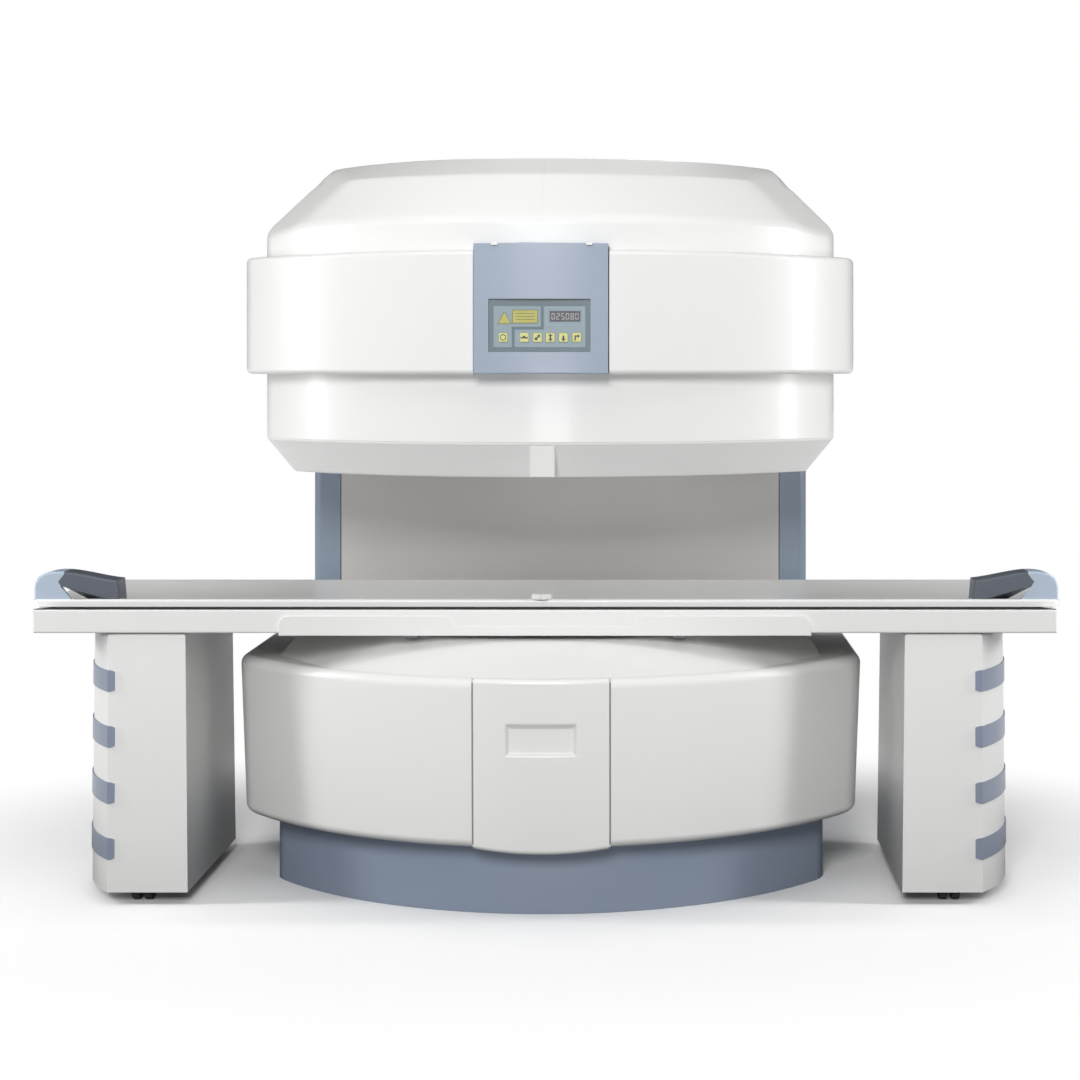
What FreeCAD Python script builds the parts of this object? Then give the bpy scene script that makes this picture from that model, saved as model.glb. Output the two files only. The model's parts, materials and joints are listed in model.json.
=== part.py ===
"""Open C-shaped MRI scanner with a side-loading patient table.

A permanent magnet stands on a plinth: a steel yoke of a lower plate, a rear column and an upper plate
holds a magnet, a pole shoe and two coils above and below the patient gap. Moulded covers close it.
The table bridges the lower half on two pedestals with casters, and its top slides from side to side.

Millimetres, +Z up, +Y to the rear. The origin is on the floor, in the middle of the overall box.
"""
import FreeCAD, Part
import math
import os

# ---- the two magnet halves and the covers round them -------------------------------------------
overall_depth = 1500.0          # front of the control housing to the rear covers
arc_setback = 552.0             # from the magnet axis back to the centre of all front curves
front_radius = 1040.0           # of the widest front curves: the lower housing and the upper band
cover_half_width = 852.0        # of the widest cover, at the top of the lower housing
cover_wall = 5.0
cover_rear_seam = 1.0

plinth_setback = 100.0          # behind the lower housing's front curve
plinth_side_setback = 104.0
plinth_height = 193.0
plinth_wall = 6.0
plinth_floor = 30.0

lower_corner = 175.0
lower_bottom = 188.0
lower_top = 615.0
lower_draft = 16.0
lower_round = 24.0
lower_foot_round = 7.0

dome_edge_setback = 26.0        # from the lower housing's front curve to the dome's foot
deck_width = 115.0              # flat deck beside the dome
dome_height = 75.0
dome_front_run = 160.0
dome_side_run = 49.0
dome_corner_turn = 34.4         # degrees round the front curve to the corner facet's foot
dome_corner_normal = (0.819, -0.573)
dome_corner_run = 195.0
deck_lip = 26.0                 # how far the deck reaches in under the dome

hatch_half_width = 173.0
hatch_seam = 2.0
hatch_drop = 6.0
hatch_clearance = 0.3
hatch_frame_lap = 24.0
hatch_frame_wall = 5.0
grip_half_width = 90.0
grip_bottom = 420.0
grip_top = 503.0
grip_depth = 25.0
grip_wall = 3.0

band_narrowing = 24.0           # the upper band's side, inside the lower housing's side
tier_step = 53.0                # from the upper band in to the skirt
upper_corner = 110.0
gap_top = 1115.0                # underside of the upper half
upper_chamfer_height = 90.0
upper_chamfer_inset = 75.0
tier_top = 1775.0

crown_front_runs = (120.0, 232.0)
crown_side_runs = (120.0, 166.0)
crown_heights = (127.0, 180.0)
crown_top_rise = 185.0
crown_flat_inset = 420.0
crown_wall = 6.0
crown_corner_turn = 46.3        # degrees round the front curve to the corner facet's foot
crown_corner_cut = 9.0
crown_corner_normal = (0.571, -0.387, 0.724)
crown_seam = 2.5

band_corner = 135.0
band_bottom = 1381.0
band_top = 1695.0
band_seam = 2.0
band_round = 14.0

# ---- control housing on the front --------------------------------------------------------------
panel_proud = 15.0              # in front of the upper band
panel_half_width = 169.0
panel_bottom = 1382.0
panel_top = 1710.0
panel_wall = 4.0
panel_recess = (-131.0, 125.0, 1437.0, 1570.0)      # left, right, bottom, top
recess_depth = 14.0
recess_rim = 6.0
keypad_thickness = 4.0
overlay_field = (-118.0, 112.0, 1449.0, 1552.0)
overlay_height = 1.2
overlay_groove = 2.4
groove_corner = (4.0, 1497.0)
groove_foot_x = -69.0
notch_places = (-113.5, 124.0)
notch_width = 9.0
notch_depth = 4.0
display_centre = (61.0, 1526.5)
display_size = (77.0, 27.0)
display_proud = 1.0
display_sink = 2.0
triangle_centre = (-91.0, 1523.0)
triangle_size = (31.0, 28.0)
bar_centre = (-39.0, 1526.0)
bar_size = (61.0, 31.0)
lamp_proud = 0.8
key_size = 23.0
key_round = 3.0
key_bevel = 0.8
key_row_z = 1473.5
key_places = (-94.0, -41.0, -8.0, 24.4, 57.0, 90.8)
key_clearance = 0.4
key_proud = 3.0
key_flange_gap = 0.3
key_flange_lap = 1.5
key_flange_thickness = 1.5

laser_half_width = 33.0
laser_bottom = 1120.0
laser_set_back = 4.0
laser_round = 4.0

# ---- rear column -------------------------------------------------------------------------------
column_front = 507.0                    # from the magnet axis
column_rear_setback = 24.0              # in front of the rear of the upper covers
column_side_setback = 34.0              # inside the upper skirt's side
column_side_width = 83.0                # of the coloured covers, seen from the front
column_rear_side_width = 101.0
column_round = 30.0
column_seam = 2.0
louvre_count = 7
louvre_pitch = 26.0
louvre_height = 8.0
louvre_half_width = 210.0
louvre_centre_z = 960.0

# ---- magnet inside the covers ------------------------------------------------------------------
yoke_plate_thickness = 260.0
yoke_nose_clearance = 10.0              # to the plinth's wall
yoke_rear_setback = 43.0                # in front of the column's rear cover
yoke_column_front = 540.0
yoke_column_setback = 181.0             # inside the column covers' sides
magnet_clearance = 15.0                 # to the upper skirt's wall
magnet_round = 6.0
magnet_thickness = 180.0
pole_shoe_thickness = 90.0
pole_rim_height = 45.0
pole_rim_width = 24.0
gradient_thickness = 44.0
gradient_clearance = 1.0
pole_rim_bevel = 10.0
rf_thickness = 50.0
rf_step = 85.0                          # inside the magnet's radius
rf_round = 8.0
yoke_bolt_diameter = 36.0
yoke_bolt_head = 60.0
yoke_bolt_head_height = 24.0
yoke_bolt_length = 420.0
yoke_bolt_spacing = 240.0
yoke_bolt_row_offset = 90.0
yoke_bolt_clearance = 0.5

# ---- patient table -----------------------------------------------------------------------------
frame_half_length = 1333.0
frame_half_width = 300.0
frame_bottom = 707.0
frame_top = 768.5
frame_wall = 4.0
frame_trough_half_width = 213.0
frame_end_cut_bottom = 742.0
frame_end_opening = 1300.0
edge_round = 5.0

ledge_inner = 252.0
ledge_outer = 298.0
ledge_half_length = 1322.0
ledge_end_slant = 26.0
ledge_thickness = 1.2

bracket_half_width = 692.0
bracket_thickness = 8.0
bracket_bottom = 701.0
bracket_top = 753.0
bracket_notch_top = 727.0
bracket_notch_half_width = 235.0
bracket_slant = 16.0
bracket_corner = 24.0
bracket_bevel = 1.5

tabletop_half_length = 1353.0
tabletop_half_width = 250.0
tabletop_top = 789.0
tabletop_lip = 19.0
tabletop_dish = 17.0
tabletop_belly_clearance = 6.0         # to the sides of the frame's trough
tabletop_rim = 22.0
tabletop_corner = 24.0
tabletop_round = 7.0
runner_clearance = 0.3
keel_half_length = 800.0
keel_half_width = 12.0
keel_depth = 34.0
keel_clearance = 0.5
keel_guide_place = 250.0
keel_guide_length = 80.0
keel_guide_half_width = 40.0
keel_guide_height = 22.0

handle_end_gap = 6.0                    # from the end of the tabletop
handle_front_gap = 7.0                  # from the front edge of the tabletop
handle_depth = 80.0                     # along Y
handle_length = 226.0
handle_crown = ((0.0, 23.0), (4.0, 47.0), (15.0, 61.0), (37.0, 70.0), (64.0, 73.0), (106.0, 69.5),
                (157.0, 60.0), (220.0, 50.0))   # from the outer end, and above the tabletop
handle_round = 7.0
handle_scoop_front = ((69.0, 35.0), (104.0, -3.0), (209.0, -3.0))
handle_scoop_rear = ((50.0, 27.0), (84.0, -19.0), (140.0, -19.0))

knob_diameter = 55.0
knob_thickness = 13.0
knob_round = 3.0
knob_lift = 0.6
knob_place = (-12.0, -233.0)            # across the table and from its middle line
knob_stem = 10.0
knob_fit = 0.05
knob_flute_count = 8
knob_flute_radius = 5.0
knob_flute_set_out = 3.0

cross_rail_place = 350.0
cross_rail_half_length = 270.0
cross_rail_width = 30.0
cross_rail_height = 11.0
cross_shoe_length = 60.0
cross_shoe_width = 56.0
cross_shoe_reach = 130.0
cross_fit = 0.3

# ---- pedestals and casters ---------------------------------------------------------------------
pedestal_inner = 938.0
pedestal_flat_end = 1121.0
pedestal_apex = 1234.0
pedestal_half_width = 290.0
pedestal_bottom = 32.0
pedestal_reveal = 3.0
pedestal_draft = 8.0
pedestal_wall = 5.0
pedestal_round = 10.0
stripe_height = 55.5
stripe_centres = (582.0, 437.0, 291.0, 146.0)
stripe_proud = 4.0
stripe_end_round = 14.0

leg_plate_bottom = 92.0
leg_plate_thickness = 10.0
leg_post_half_width = 130.0
leg_post_inner = 985.0
leg_post_outer = 1105.0
leg_post_wall = 6.0
leg_post_clearance = 1.0

caster_place = (1058.0, 208.0)          # swivel axis, from the middle of the table
caster_trail = 28.0
wheel_diameter = 75.0
wheel_width = 22.0
wheel_round = 5.0
caster_web = 9.0
wheel_gap = 0.5
axle_diameter = 10.0
axle_fit = 0.05
stem_diameter = 16.0
stem_fit = 0.05
caster_flange_diameter = 50.0
caster_flange_thickness = 7.0
caster_flange_gap = 0.3
caster_head_diameter = 26.0
caster_head_height = 6.0

# ---- places worked out from the sizes above ----------------------------------------------------
lower_half_width = cover_half_width
lower_radius = front_radius
plinth_half_width = lower_half_width - plinth_side_setback
plinth_radius = lower_radius - plinth_setback
dome_radius = lower_radius - dome_edge_setback
dome_half_width = lower_half_width - deck_width
band_half_width = lower_half_width - band_narrowing
band_radius = front_radius
upper_half_width = band_half_width - tier_step
upper_radius = band_radius - tier_step
column_half_width = upper_half_width - column_side_setback
column_white_half_width = column_half_width - column_side_width
column_rear_half_width = column_half_width - column_rear_side_width
yoke_nose_radius = plinth_radius - arc_setback - plinth_wall - yoke_nose_clearance
yoke_column_half_width = column_half_width - yoke_column_setback
magnet_radius = upper_radius - arc_setback - cover_wall - magnet_clearance
rf_radius = magnet_radius - rf_step
panel_reach = band_radius + panel_proud - arc_setback

column_back = overall_depth - panel_reach - column_rear_setback
yoke_back = column_back - yoke_rear_setback
axis_y = panel_reach - overall_depth / 2
arc_y = axis_y + arc_setback
rear_y = overall_depth / 2
reach = 3000.0                          # larger than the whole object, for cutting blocks


def vec(x, y, z=0.0):
    return FreeCAD.Vector(x, y, z)


def box(x0, x1, y0, y1, z0, z1):
    return Part.makeBox(x1 - x0, y1 - y0, z1 - z0, vec(x0, y0, z0))


def post(radius, x, y, z0, z1):
    return Part.makeCylinder(radius, z1 - z0, vec(x, y, z0))


def extrude(points, direction):
    """Solid of a closed polygon of 3-D points swept along a direction."""
    return Part.Face(Part.makePolygon(points + [points[0]])).extrude(direction)


def along_x(profile, x0, x1):
    return extrude([vec(x0, y, z) for y, z in profile], vec(x1 - x0, 0, 0))


def along_y(profile, y0, y1):
    return extrude([vec(x, y0, z) for x, z in profile], vec(0, y1 - y0, 0))


def along_z(outline, z0, z1):
    return extrude([vec(x, y, z0) for x, y in outline], vec(0, 0, z1 - z0))


def beyond(point, normal):
    """Block that fills the far side of a plane, to cut a facet with."""
    block = Part.makeBox(2 * reach, 2 * reach, reach, vec(-reach, -reach, 0))
    block.Placement = FreeCAD.Placement(point, FreeCAD.Rotation(vec(0, 0, 1), normal))
    return block


def mirrored(shape):
    return shape.mirror(vec(0, 0, 0), vec(1, 0, 0))


def level_edges(shape, z):
    """Edges that lie in the plane at height z."""
    return [e for e in shape.Edges if abs(e.BoundBox.ZMin - z) < 0.01 and abs(e.BoundBox.ZMax - z) < 0.01]


def upright_edges(shape):
    """Straight edges that run along Z."""
    return [e for e in shape.Edges if e.BoundBox.XLength < 0.01 and e.BoundBox.YLength < 0.01]


def clean(shape):
    """One shape with its coplanar faces joined."""
    return shape.removeSplitter()


# ---- outlines of the moulded covers ------------------------------------------------------------
def cover_wire(half_width, radius, corner, z, inset=0.0, back=rear_y):
    """Plan of a cover: a long front arc, rounded into straight sides that run to a straight back."""
    w = half_width - inset
    r = radius - inset
    c = max(corner - inset, 0.0)
    fx = w - c
    fy = arc_y - math.sqrt((r - c) ** 2 - fx ** 2)
    tx = fx * r / (r - c)
    ty = arc_y + (fy - arc_y) * r / (r - c)
    edges = [Part.Arc(vec(-tx, ty, z), vec(0, arc_y - r, z), vec(tx, ty, z)).toShape()]
    if c > 0:
        half_turn = math.atan2(ty - fy, tx - fx) / 2
        mx = fx + c * math.cos(half_turn)
        my = fy + c * math.sin(half_turn)
        edges.append(Part.Arc(vec(tx, ty, z), vec(mx, my, z), vec(w, fy, z)).toShape())
    edges.append(Part.LineSegment(vec(w, fy, z), vec(w, back, z)).toShape())
    edges.append(Part.LineSegment(vec(w, back, z), vec(-w, back, z)).toShape())
    edges.append(Part.LineSegment(vec(-w, back, z), vec(-w, fy, z)).toShape())
    if c > 0:
        edges.append(Part.Arc(vec(-w, fy, z), vec(-mx, my, z), vec(-tx, ty, z)).toShape())
    return Part.Wire(edges)


def cover_block(half_width, radius, corner, z0, z1, inset=0.0, back=rear_y):
    wire = cover_wire(half_width, radius, corner, z0, inset, back)
    return Part.Face(wire).extrude(vec(0, 0, z1 - z0))


def cover_loft(half_width, radius, corner, z0, inset0, z1, inset1, back=rear_y):
    low = cover_wire(half_width, radius, corner, z0, inset0, back)
    high = cover_wire(half_width, radius, corner, z1, inset1, back)
    return Part.makeLoft([low, high], True, True)


# ---- base ---------------------------------------------------------------------------------------
def plinth_block(z0, z1, inset=0.0):
    back = rear_y - lower_draft - lower_round - inset
    return cover_block(plinth_half_width, plinth_radius, 0.0, z0, z1, inset, back)


def make_base_plinth():
    hollow = plinth_block(plinth_floor, plinth_height + 1, plinth_wall)
    return plinth_block(0, plinth_height).cut(hollow)


# ---- lower covers -------------------------------------------------------------------------------
def lower_body(inset, bottom, top, edge_round, foot_round=0.0):
    """Drafted body of the lower half between two heights, with its top edge rounded."""
    def flare(z):
        return inset + lower_draft * (lower_top - z) / (lower_top - lower_bottom)
    body = cover_loft(lower_half_width, lower_radius, lower_corner, bottom, flare(bottom), top, flare(top),
                      rear_y - inset)
    body = body.makeFillet(edge_round, level_edges(body, top))
    if foot_round > 0:
        foot = [e for e in level_edges(body, bottom) if e.BoundBox.YMin < rear_y - inset - 1]
        body = body.makeFillet(foot_round, foot)
    return body


def on_front_curve(radius, degrees):
    """Place on the right half of a front curve, by its turn from the middle."""
    turn = math.radians(degrees)
    return radius * math.sin(turn), arc_y - radius * math.cos(turn)


def facet_plan(radius, half_width, corner_inset, z0, z1, back):
    """Upright block with the dome's plan: front arc, straight sides and two cut corners."""
    block = Part.makeCylinder(radius, z1 - z0, vec(0, arc_y, z0))
    block = block.common(box(-half_width, half_width, -reach, back, z0, z1))
    block = block.fuse(box(-half_width, half_width, arc_y, back, z0, z1)) if back > arc_y else block
    nx, ny = dome_corner_normal
    px, py = on_front_curve(dome_radius, dome_corner_turn)
    for side in (1, -1):
        point = vec(side * (px - nx * corner_inset), py - ny * corner_inset, z0)
        block = block.cut(beyond(point, vec(side * nx, ny, 0)))
    return clean(block)


def lower_shell():
    """Hollow lower housing: wall, rounded rim, deck with the dome's opening and a floor ring."""
    outer = lower_body(0.0, lower_bottom, lower_top, lower_round, lower_foot_round)
    inner = lower_body(cover_wall, lower_bottom + cover_wall, lower_top - cover_wall,
                       lower_round - cover_wall)
    opening = facet_plan(dome_radius - deck_lip, dome_half_width - deck_lip, deck_lip,
                         lower_top - 2 * cover_wall, lower_top + 1, rear_y - 2 * lower_round)
    shell = outer.cut(inner).cut(opening)
    return shell.cut(plinth_block(lower_bottom - 1, lower_bottom + cover_wall + 1))


def front_slot(half_width):
    """Block that takes the hatch's width out of the front of the lower housing."""
    return box(-half_width, half_width, -reach, axis_y, 0, lower_top + 1)


def make_lower_covers():
    shell = lower_shell()
    shell = shell.cut(front_slot(hatch_half_width + hatch_seam))
    seam = cover_rear_seam / 2
    left = shell.common(box(-reach, -seam, -reach, reach, 0, reach))
    right = shell.common(box(seam, reach, -reach, reach, 0, reach))
    return left, right


def make_hatch_frame():
    """Frame behind the hatch that ties the two lower covers together and carries the dome's front."""
    half = hatch_half_width + hatch_frame_lap
    outer = lower_body(cover_wall, lower_bottom, lower_top - cover_wall, lower_round - cover_wall)
    inner = lower_body(cover_wall + hatch_frame_wall, 0, lower_top - cover_wall - hatch_frame_wall,
                       lower_round - cover_wall - hatch_frame_wall)
    ring = outer.cut(inner)
    ring = ring.common(box(-half, half, -reach, axis_y - plinth_radius / 4, 0, reach))
    ring = ring.cut(facet_plan(dome_radius - deck_lip, dome_half_width - deck_lip, deck_lip,
                               0, lower_top + 1, rear_y))
    window = box(-hatch_half_width + hatch_frame_lap, hatch_half_width - hatch_frame_lap, -reach, axis_y,
                 lower_bottom + 2 * hatch_frame_lap, lower_top - 2 * hatch_frame_lap)
    ring = ring.cut(window)
    floor = lower_body(cover_wall, lower_bottom, lower_top, lower_round)
    half_floor = hatch_half_width + hatch_seam
    floor = floor.common(box(-half_floor, half_floor, -reach, axis_y, lower_bottom,
                             lower_bottom + cover_wall))
    floor = floor.cut(plinth_block(lower_bottom - 1, lower_top))
    ring = ring.cut(box(-reach, reach, -reach, reach, 0, lower_bottom + cover_wall))
    deck = facet_plan(dome_radius - 1.0, dome_half_width, 0.0, lower_top - cover_wall, lower_top, rear_y)
    deck = deck.common(box(-half_floor, half_floor, -reach, axis_y, 0, reach))
    deck = deck.cut(facet_plan(dome_radius - deck_lip, dome_half_width - deck_lip, deck_lip,
                               lower_top - 2 * cover_wall, lower_top + 1, rear_y))
    return clean(ring.fuse([floor, deck]))


def grip_wedge(growth):
    """Finger recess of the hatch: deepest under its upper lip and running out at its lower lip."""
    def face(z):
        return arc_y - lower_radius + lower_draft * (lower_top - z) / (lower_top - lower_bottom)
    half = grip_half_width + growth
    back = face(grip_top) + grip_depth + growth
    profile = [(face(grip_bottom) - 2 * grip_depth, grip_bottom - growth),
               (face(grip_bottom) + growth, grip_bottom - growth),
               (back, grip_top - 2 * grip_wall - growth), (back, grip_top + growth),
               (face(grip_top) - 2 * grip_depth, grip_top + growth)]
    return along_x(profile, -half, half)


def make_front_hatch():
    bottom = lower_bottom - hatch_drop
    wall = cover_wall - hatch_clearance
    outer = lower_body(0.0, bottom, lower_top, lower_round, lower_foot_round)
    inner = lower_body(wall, bottom + wall, lower_top - wall, lower_round - wall)
    slab = box(-hatch_half_width, hatch_half_width, -reach, axis_y, 0, reach)
    panel = outer.cut(inner).common(slab)
    pocket = grip_wedge(grip_wall).common(outer)
    panel = panel.fuse(pocket)
    panel = panel.cut(grip_wedge(0.0))
    keep_out = facet_plan(dome_radius, dome_half_width, 0.0, lower_top - lower_round, lower_top + 1, rear_y)
    panel = panel.cut(keep_out)
    foot = cover_block(lower_half_width, lower_radius, lower_corner, 0, lower_bottom,
                       lower_draft + 3 * lower_round, rear_y - 1)
    return clean(panel.cut(foot))


def dome_block(back, drop=0.0):
    """Faceted dome over the lower pole: a cone in front, slopes at the sides and cut corners."""
    z0 = lower_top - drop
    cone = Part.makeCone(dome_radius, dome_radius - dome_front_run, dome_height, vec(0, arc_y, z0))
    side = [(-dome_half_width, z0), (dome_half_width, z0),
            (dome_half_width - dome_side_run, z0 + dome_height),
            (-dome_half_width + dome_side_run, z0 + dome_height)]
    block = cone.common(along_y(side, -reach, back))
    nx, ny = dome_corner_normal
    px, py = on_front_curve(dome_radius, dome_corner_turn)
    for hand in (1, -1):
        normal = vec(hand * nx * dome_height, ny * dome_height, dome_corner_run)
        block = block.cut(beyond(vec(hand * px, py, z0), normal))
    return block


def make_lower_pole_cover():
    back = axis_y + column_front
    return dome_block(back).cut(dome_block(back, cover_wall)).common(
        box(-reach, reach, -reach, back, lower_top, reach))


# ---- upper covers -------------------------------------------------------------------------------
def upper_pan_block(lift=0.0):
    return cover_loft(upper_half_width, upper_radius, upper_corner, gap_top + lift, upper_chamfer_inset,
                      gap_top + upper_chamfer_height + lift, 0.0, rear_y)


def yoke_passage(clearance):
    """Way through a cover for the steel column of the yoke."""
    half = yoke_column_half_width + clearance
    return box(-half, half, axis_y + yoke_column_front - clearance, axis_y + yoke_back + clearance,
               0, reach)


def make_upper_pole_cover():
    top = gap_top + upper_chamfer_height
    inner = upper_pan_block(cover_wall).common(box(-reach, reach, -reach, rear_y - cover_wall, 0, reach))
    pan = upper_pan_block().cut(inner)
    return pan.cut(yoke_passage(cover_wall)).common(box(-reach, reach, -reach, reach, 0, top))


def make_upper_skirt_cover():
    bottom = gap_top + upper_chamfer_height
    outer = cover_block(upper_half_width, upper_radius, upper_corner, bottom, tier_top)
    inner = cover_block(upper_half_width, upper_radius, upper_corner, bottom - 1, tier_top + 1,
                        cover_wall, rear_y - cover_wall)
    return outer.cut(inner)


def crown_block(back, drop=0.0):
    """Top cover: two front slopes round one centre, one long slope at each side, cut corners."""
    z0 = tier_top - drop
    heights = [z0] + [z0 + h for h in crown_heights]
    top = z0 + crown_top_rise
    radii = [upper_radius] + [upper_radius - run for run in crown_front_runs]
    widths = [upper_half_width] + [upper_half_width - run for run in crown_side_runs]
    front = [vec(0, arc_y, z0)]
    front += [vec(r, arc_y, z) for r, z in zip(radii, heights)]
    front += [vec(upper_radius - crown_flat_inset, arc_y, top), vec(0, arc_y, top)]
    turned = Part.Face(Part.makePolygon(front + [front[0]])).revolve(vec(0, arc_y, 0), vec(0, 0, 1), 360)
    right = list(zip(widths, heights)) + [(upper_half_width - crown_flat_inset, top)]
    side = right + [(-x, z) for x, z in reversed(right)]
    block = turned.common(along_y(side, -reach, back))
    nx, ny, nz = crown_corner_normal
    px, py = on_front_curve(upper_radius, crown_corner_turn)
    for hand in (1, -1):
        normal = vec(hand * nx, ny, nz)
        block = block.cut(beyond(vec(hand * px, py, z0) - normal * crown_corner_cut, normal))
    return block.common(cover_block(upper_half_width, upper_radius, upper_corner, z0, top + 1, 0.0, back))


def make_top_cover():
    shell = crown_block(rear_y).cut(crown_block(rear_y - crown_wall, crown_wall))
    shell = shell.common(box(-reach, reach, -reach, reach, tier_top, reach))
    groove = crown_block(rear_y).cut(crown_block(rear_y, crown_wall / 3))
    return shell.cut(groove.common(box(-crown_seam / 2, crown_seam / 2, -reach, reach, 0, reach)))


def make_upper_bands():
    """C-shaped ring round the upper half, open towards the skirt and split by the control housing."""
    outer = cover_block(band_half_width, band_radius, band_corner, band_bottom, band_top)
    rim = [e for z in (band_bottom, band_top) for e in level_edges(outer, z) if e.BoundBox.YMin < rear_y - 1]
    outer = outer.makeFillet(band_round, rim)
    inner = cover_block(band_half_width, band_radius, band_corner, band_bottom + cover_wall,
                        band_top - cover_wall, cover_wall, rear_y - cover_wall)
    ring = outer.cut(inner)
    ring = ring.cut(cover_block(upper_half_width, upper_radius, upper_corner, 0, reach, 0.0, rear_y + 1))
    side = panel_half_width + band_seam
    left = ring.common(box(-reach, -side, -reach, reach, 0, reach))
    right = ring.common(box(side, reach, -reach, reach, 0, reach))
    return left, right


# ---- control housing ----------------------------------------------------------------------------
panel_front = axis_y - panel_reach
keypad_front = panel_front + recess_depth
overlay_front = keypad_front - overlay_height


def panel_block(inset):
    radius = panel_reach + arc_setback - inset
    half = panel_half_width - inset
    block = post(radius, 0, arc_y, panel_bottom + inset, panel_top - inset)
    skin = cover_block(upper_half_width, upper_radius, upper_corner, 0, reach)
    return block.common(box(-half, half, -reach, axis_y, 0, reach)).cut(skin)


def make_control_housing():
    left, right, bottom, top = panel_recess
    shell = panel_block(0.0)
    shell = shell.makeFillet(recess_rim / 2, [e for e in level_edges(shell, panel_top)
                                              if e.BoundBox.YMax < panel_front + recess_depth + panel_wall])
    shell = shell.cut(panel_block(panel_wall))
    frame = box(left - recess_rim, right + recess_rim, -reach, keypad_front, bottom - recess_rim,
                top + recess_rim)
    shell = shell.fuse(frame.common(panel_block(panel_wall / 2)))
    shell = shell.cut(box(left, right, -reach, keypad_front + 1, bottom, top))
    for x in notch_places:
        shell = shell.cut(box(x - notch_width / 2, x + notch_width / 2, -reach,
                              panel_front + 2 * recess_depth, panel_top - notch_depth / 2, panel_top + 1))
    return clean(shell)


def key_block(x, growth, y0, y1):
    half = key_size / 2 + growth
    block = box(x - half, x + half, y0, y1, key_row_z - half, key_row_z + half)
    edges = [e for e in block.Edges if e.BoundBox.XLength < 0.01 and e.BoundBox.ZLength < 0.01]
    return block.makeFillet(key_round, edges)


def centred_block(centre, size, y0, y1):
    (x, z), (w, h) = centre, size
    return box(x - w / 2, x + w / 2, y0, y1, z - h / 2, z + h / 2)


def triangle_block(y0, y1):
    (x, z), (w, h) = triangle_centre, triangle_size
    return along_y([(x - w / 2, z - h / 2), (x + w / 2, z - h / 2), (x, z + h / 2)], y0, y1)


def make_keypad_plate():
    """Panel behind the recess with a raised overlay that an L-shaped groove divides."""
    left, right, bottom, top = panel_recess
    plate = box(left - recess_rim, right + recess_rim, keypad_front, keypad_front + keypad_thickness,
                bottom - recess_rim, top + recess_rim)
    x0, x1, z0, z1 = overlay_field
    overlay = box(x0, x1, overlay_front, keypad_front, z0, z1)
    gx, gz = groove_corner
    half = overlay_groove / 2
    cut_y = (overlay_front - 1, keypad_front)
    overlay = overlay.cut(box(gx - half, gx + half, *cut_y, gz - half, z1 + 1))
    overlay = overlay.cut(box(groove_foot_x - half, gx + half, *cut_y, gz - half, gz + half))
    overlay = overlay.cut(box(groove_foot_x - half, groove_foot_x + half, *cut_y, z0 - 1, gz + half))
    plate = plate.fuse(overlay)
    deep = keypad_front + keypad_thickness + 1
    for x in key_places:
        plate = plate.cut(key_block(x, key_clearance, overlay_front - 1, deep))
    plate = plate.cut(centred_block(display_centre, display_size, overlay_front - 1,
                                    overlay_front + display_sink))
    return clean(plate)


def make_key(x):
    """Square key cap with a flange behind the panel that keeps it in."""
    back = keypad_front + keypad_thickness + key_flange_gap
    cap = key_block(x, 0.0, overlay_front - key_proud, back)
    rim = [e for e in cap.Edges if e.BoundBox.YMax < overlay_front - key_proud + 0.01]
    cap = cap.makeChamfer(key_bevel, rim)
    flange = key_block(x, key_clearance + key_flange_lap, back, back + key_flange_thickness)
    return clean(cap.fuse(flange))


def make_display_window():
    return centred_block(display_centre, display_size, overlay_front - display_proud,
                         overlay_front + display_sink)


def make_indicator_lamps():
    triangle = triangle_block(overlay_front - lamp_proud, overlay_front)
    bar = centred_block(bar_centre, bar_size, overlay_front - lamp_proud, overlay_front)
    return Part.makeCompound([triangle, bar])


def make_laser_window():
    """Housing of the positioning lamp, upright in front of the chamfer under the middle of the skirt."""
    top = gap_top + upper_chamfer_height
    front = arc_y - upper_radius + laser_set_back
    block = box(-laser_half_width, laser_half_width, front, front + upper_chamfer_inset + 2 * laser_round,
                laser_bottom, top)
    block = block.makeFillet(laser_round, upright_edges(block))
    return block.cut(upper_pan_block())


# ---- rear column --------------------------------------------------------------------------------
def column_tube():
    def block(inset):
        half = column_half_width - inset
        body = box(-half, half, axis_y + column_front + inset, axis_y + column_back - inset,
                   lower_top, gap_top + upper_chamfer_height)
        return body.makeFillet(column_round - inset, upright_edges(body))
    return block(0.0).cut(block(cover_wall)).cut(upper_pan_block())


def make_column_covers():
    tube = column_tube()
    front_y = axis_y + column_front + column_round
    rear_split = axis_y + column_back - column_round
    seam = column_seam / 2
    white = column_white_half_width
    rear = column_rear_half_width
    front = tube.common(box(-white + seam, white - seam, -reach, front_y, 0, reach))
    back = tube.common(box(-rear + seam, rear - seam, rear_split, reach, 0, reach))
    sides = tube.cut(box(-white - seam, white + seam, -reach, front_y, 0, reach))
    sides = sides.cut(box(-rear - seam, rear + seam, rear_split, reach, 0, reach))
    left = sides.common(box(-reach, 0, -reach, reach, 0, reach))
    right = sides.common(box(0, reach, -reach, reach, 0, reach))
    for i in range(louvre_count):
        z = louvre_centre_z + (i - (louvre_count - 1) / 2) * louvre_pitch
        back = back.cut(box(-louvre_half_width, louvre_half_width, 0, reach, z, z + louvre_height))
    return front, left, right, back


# ---- magnet -------------------------------------------------------------------------------------
magnet_bottom = plinth_floor + yoke_plate_thickness
shoe_bottom = magnet_bottom + magnet_thickness
isocentre_z = (lower_top + dome_height + gap_top) / 2
yoke_top = 2 * isocentre_z - plinth_floor


def about_isocentre(shape):
    """The same piece in the upper half, as a mirror image in the middle of the gap."""
    return shape.mirror(vec(0, 0, isocentre_z), vec(0, 0, 1))


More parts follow.
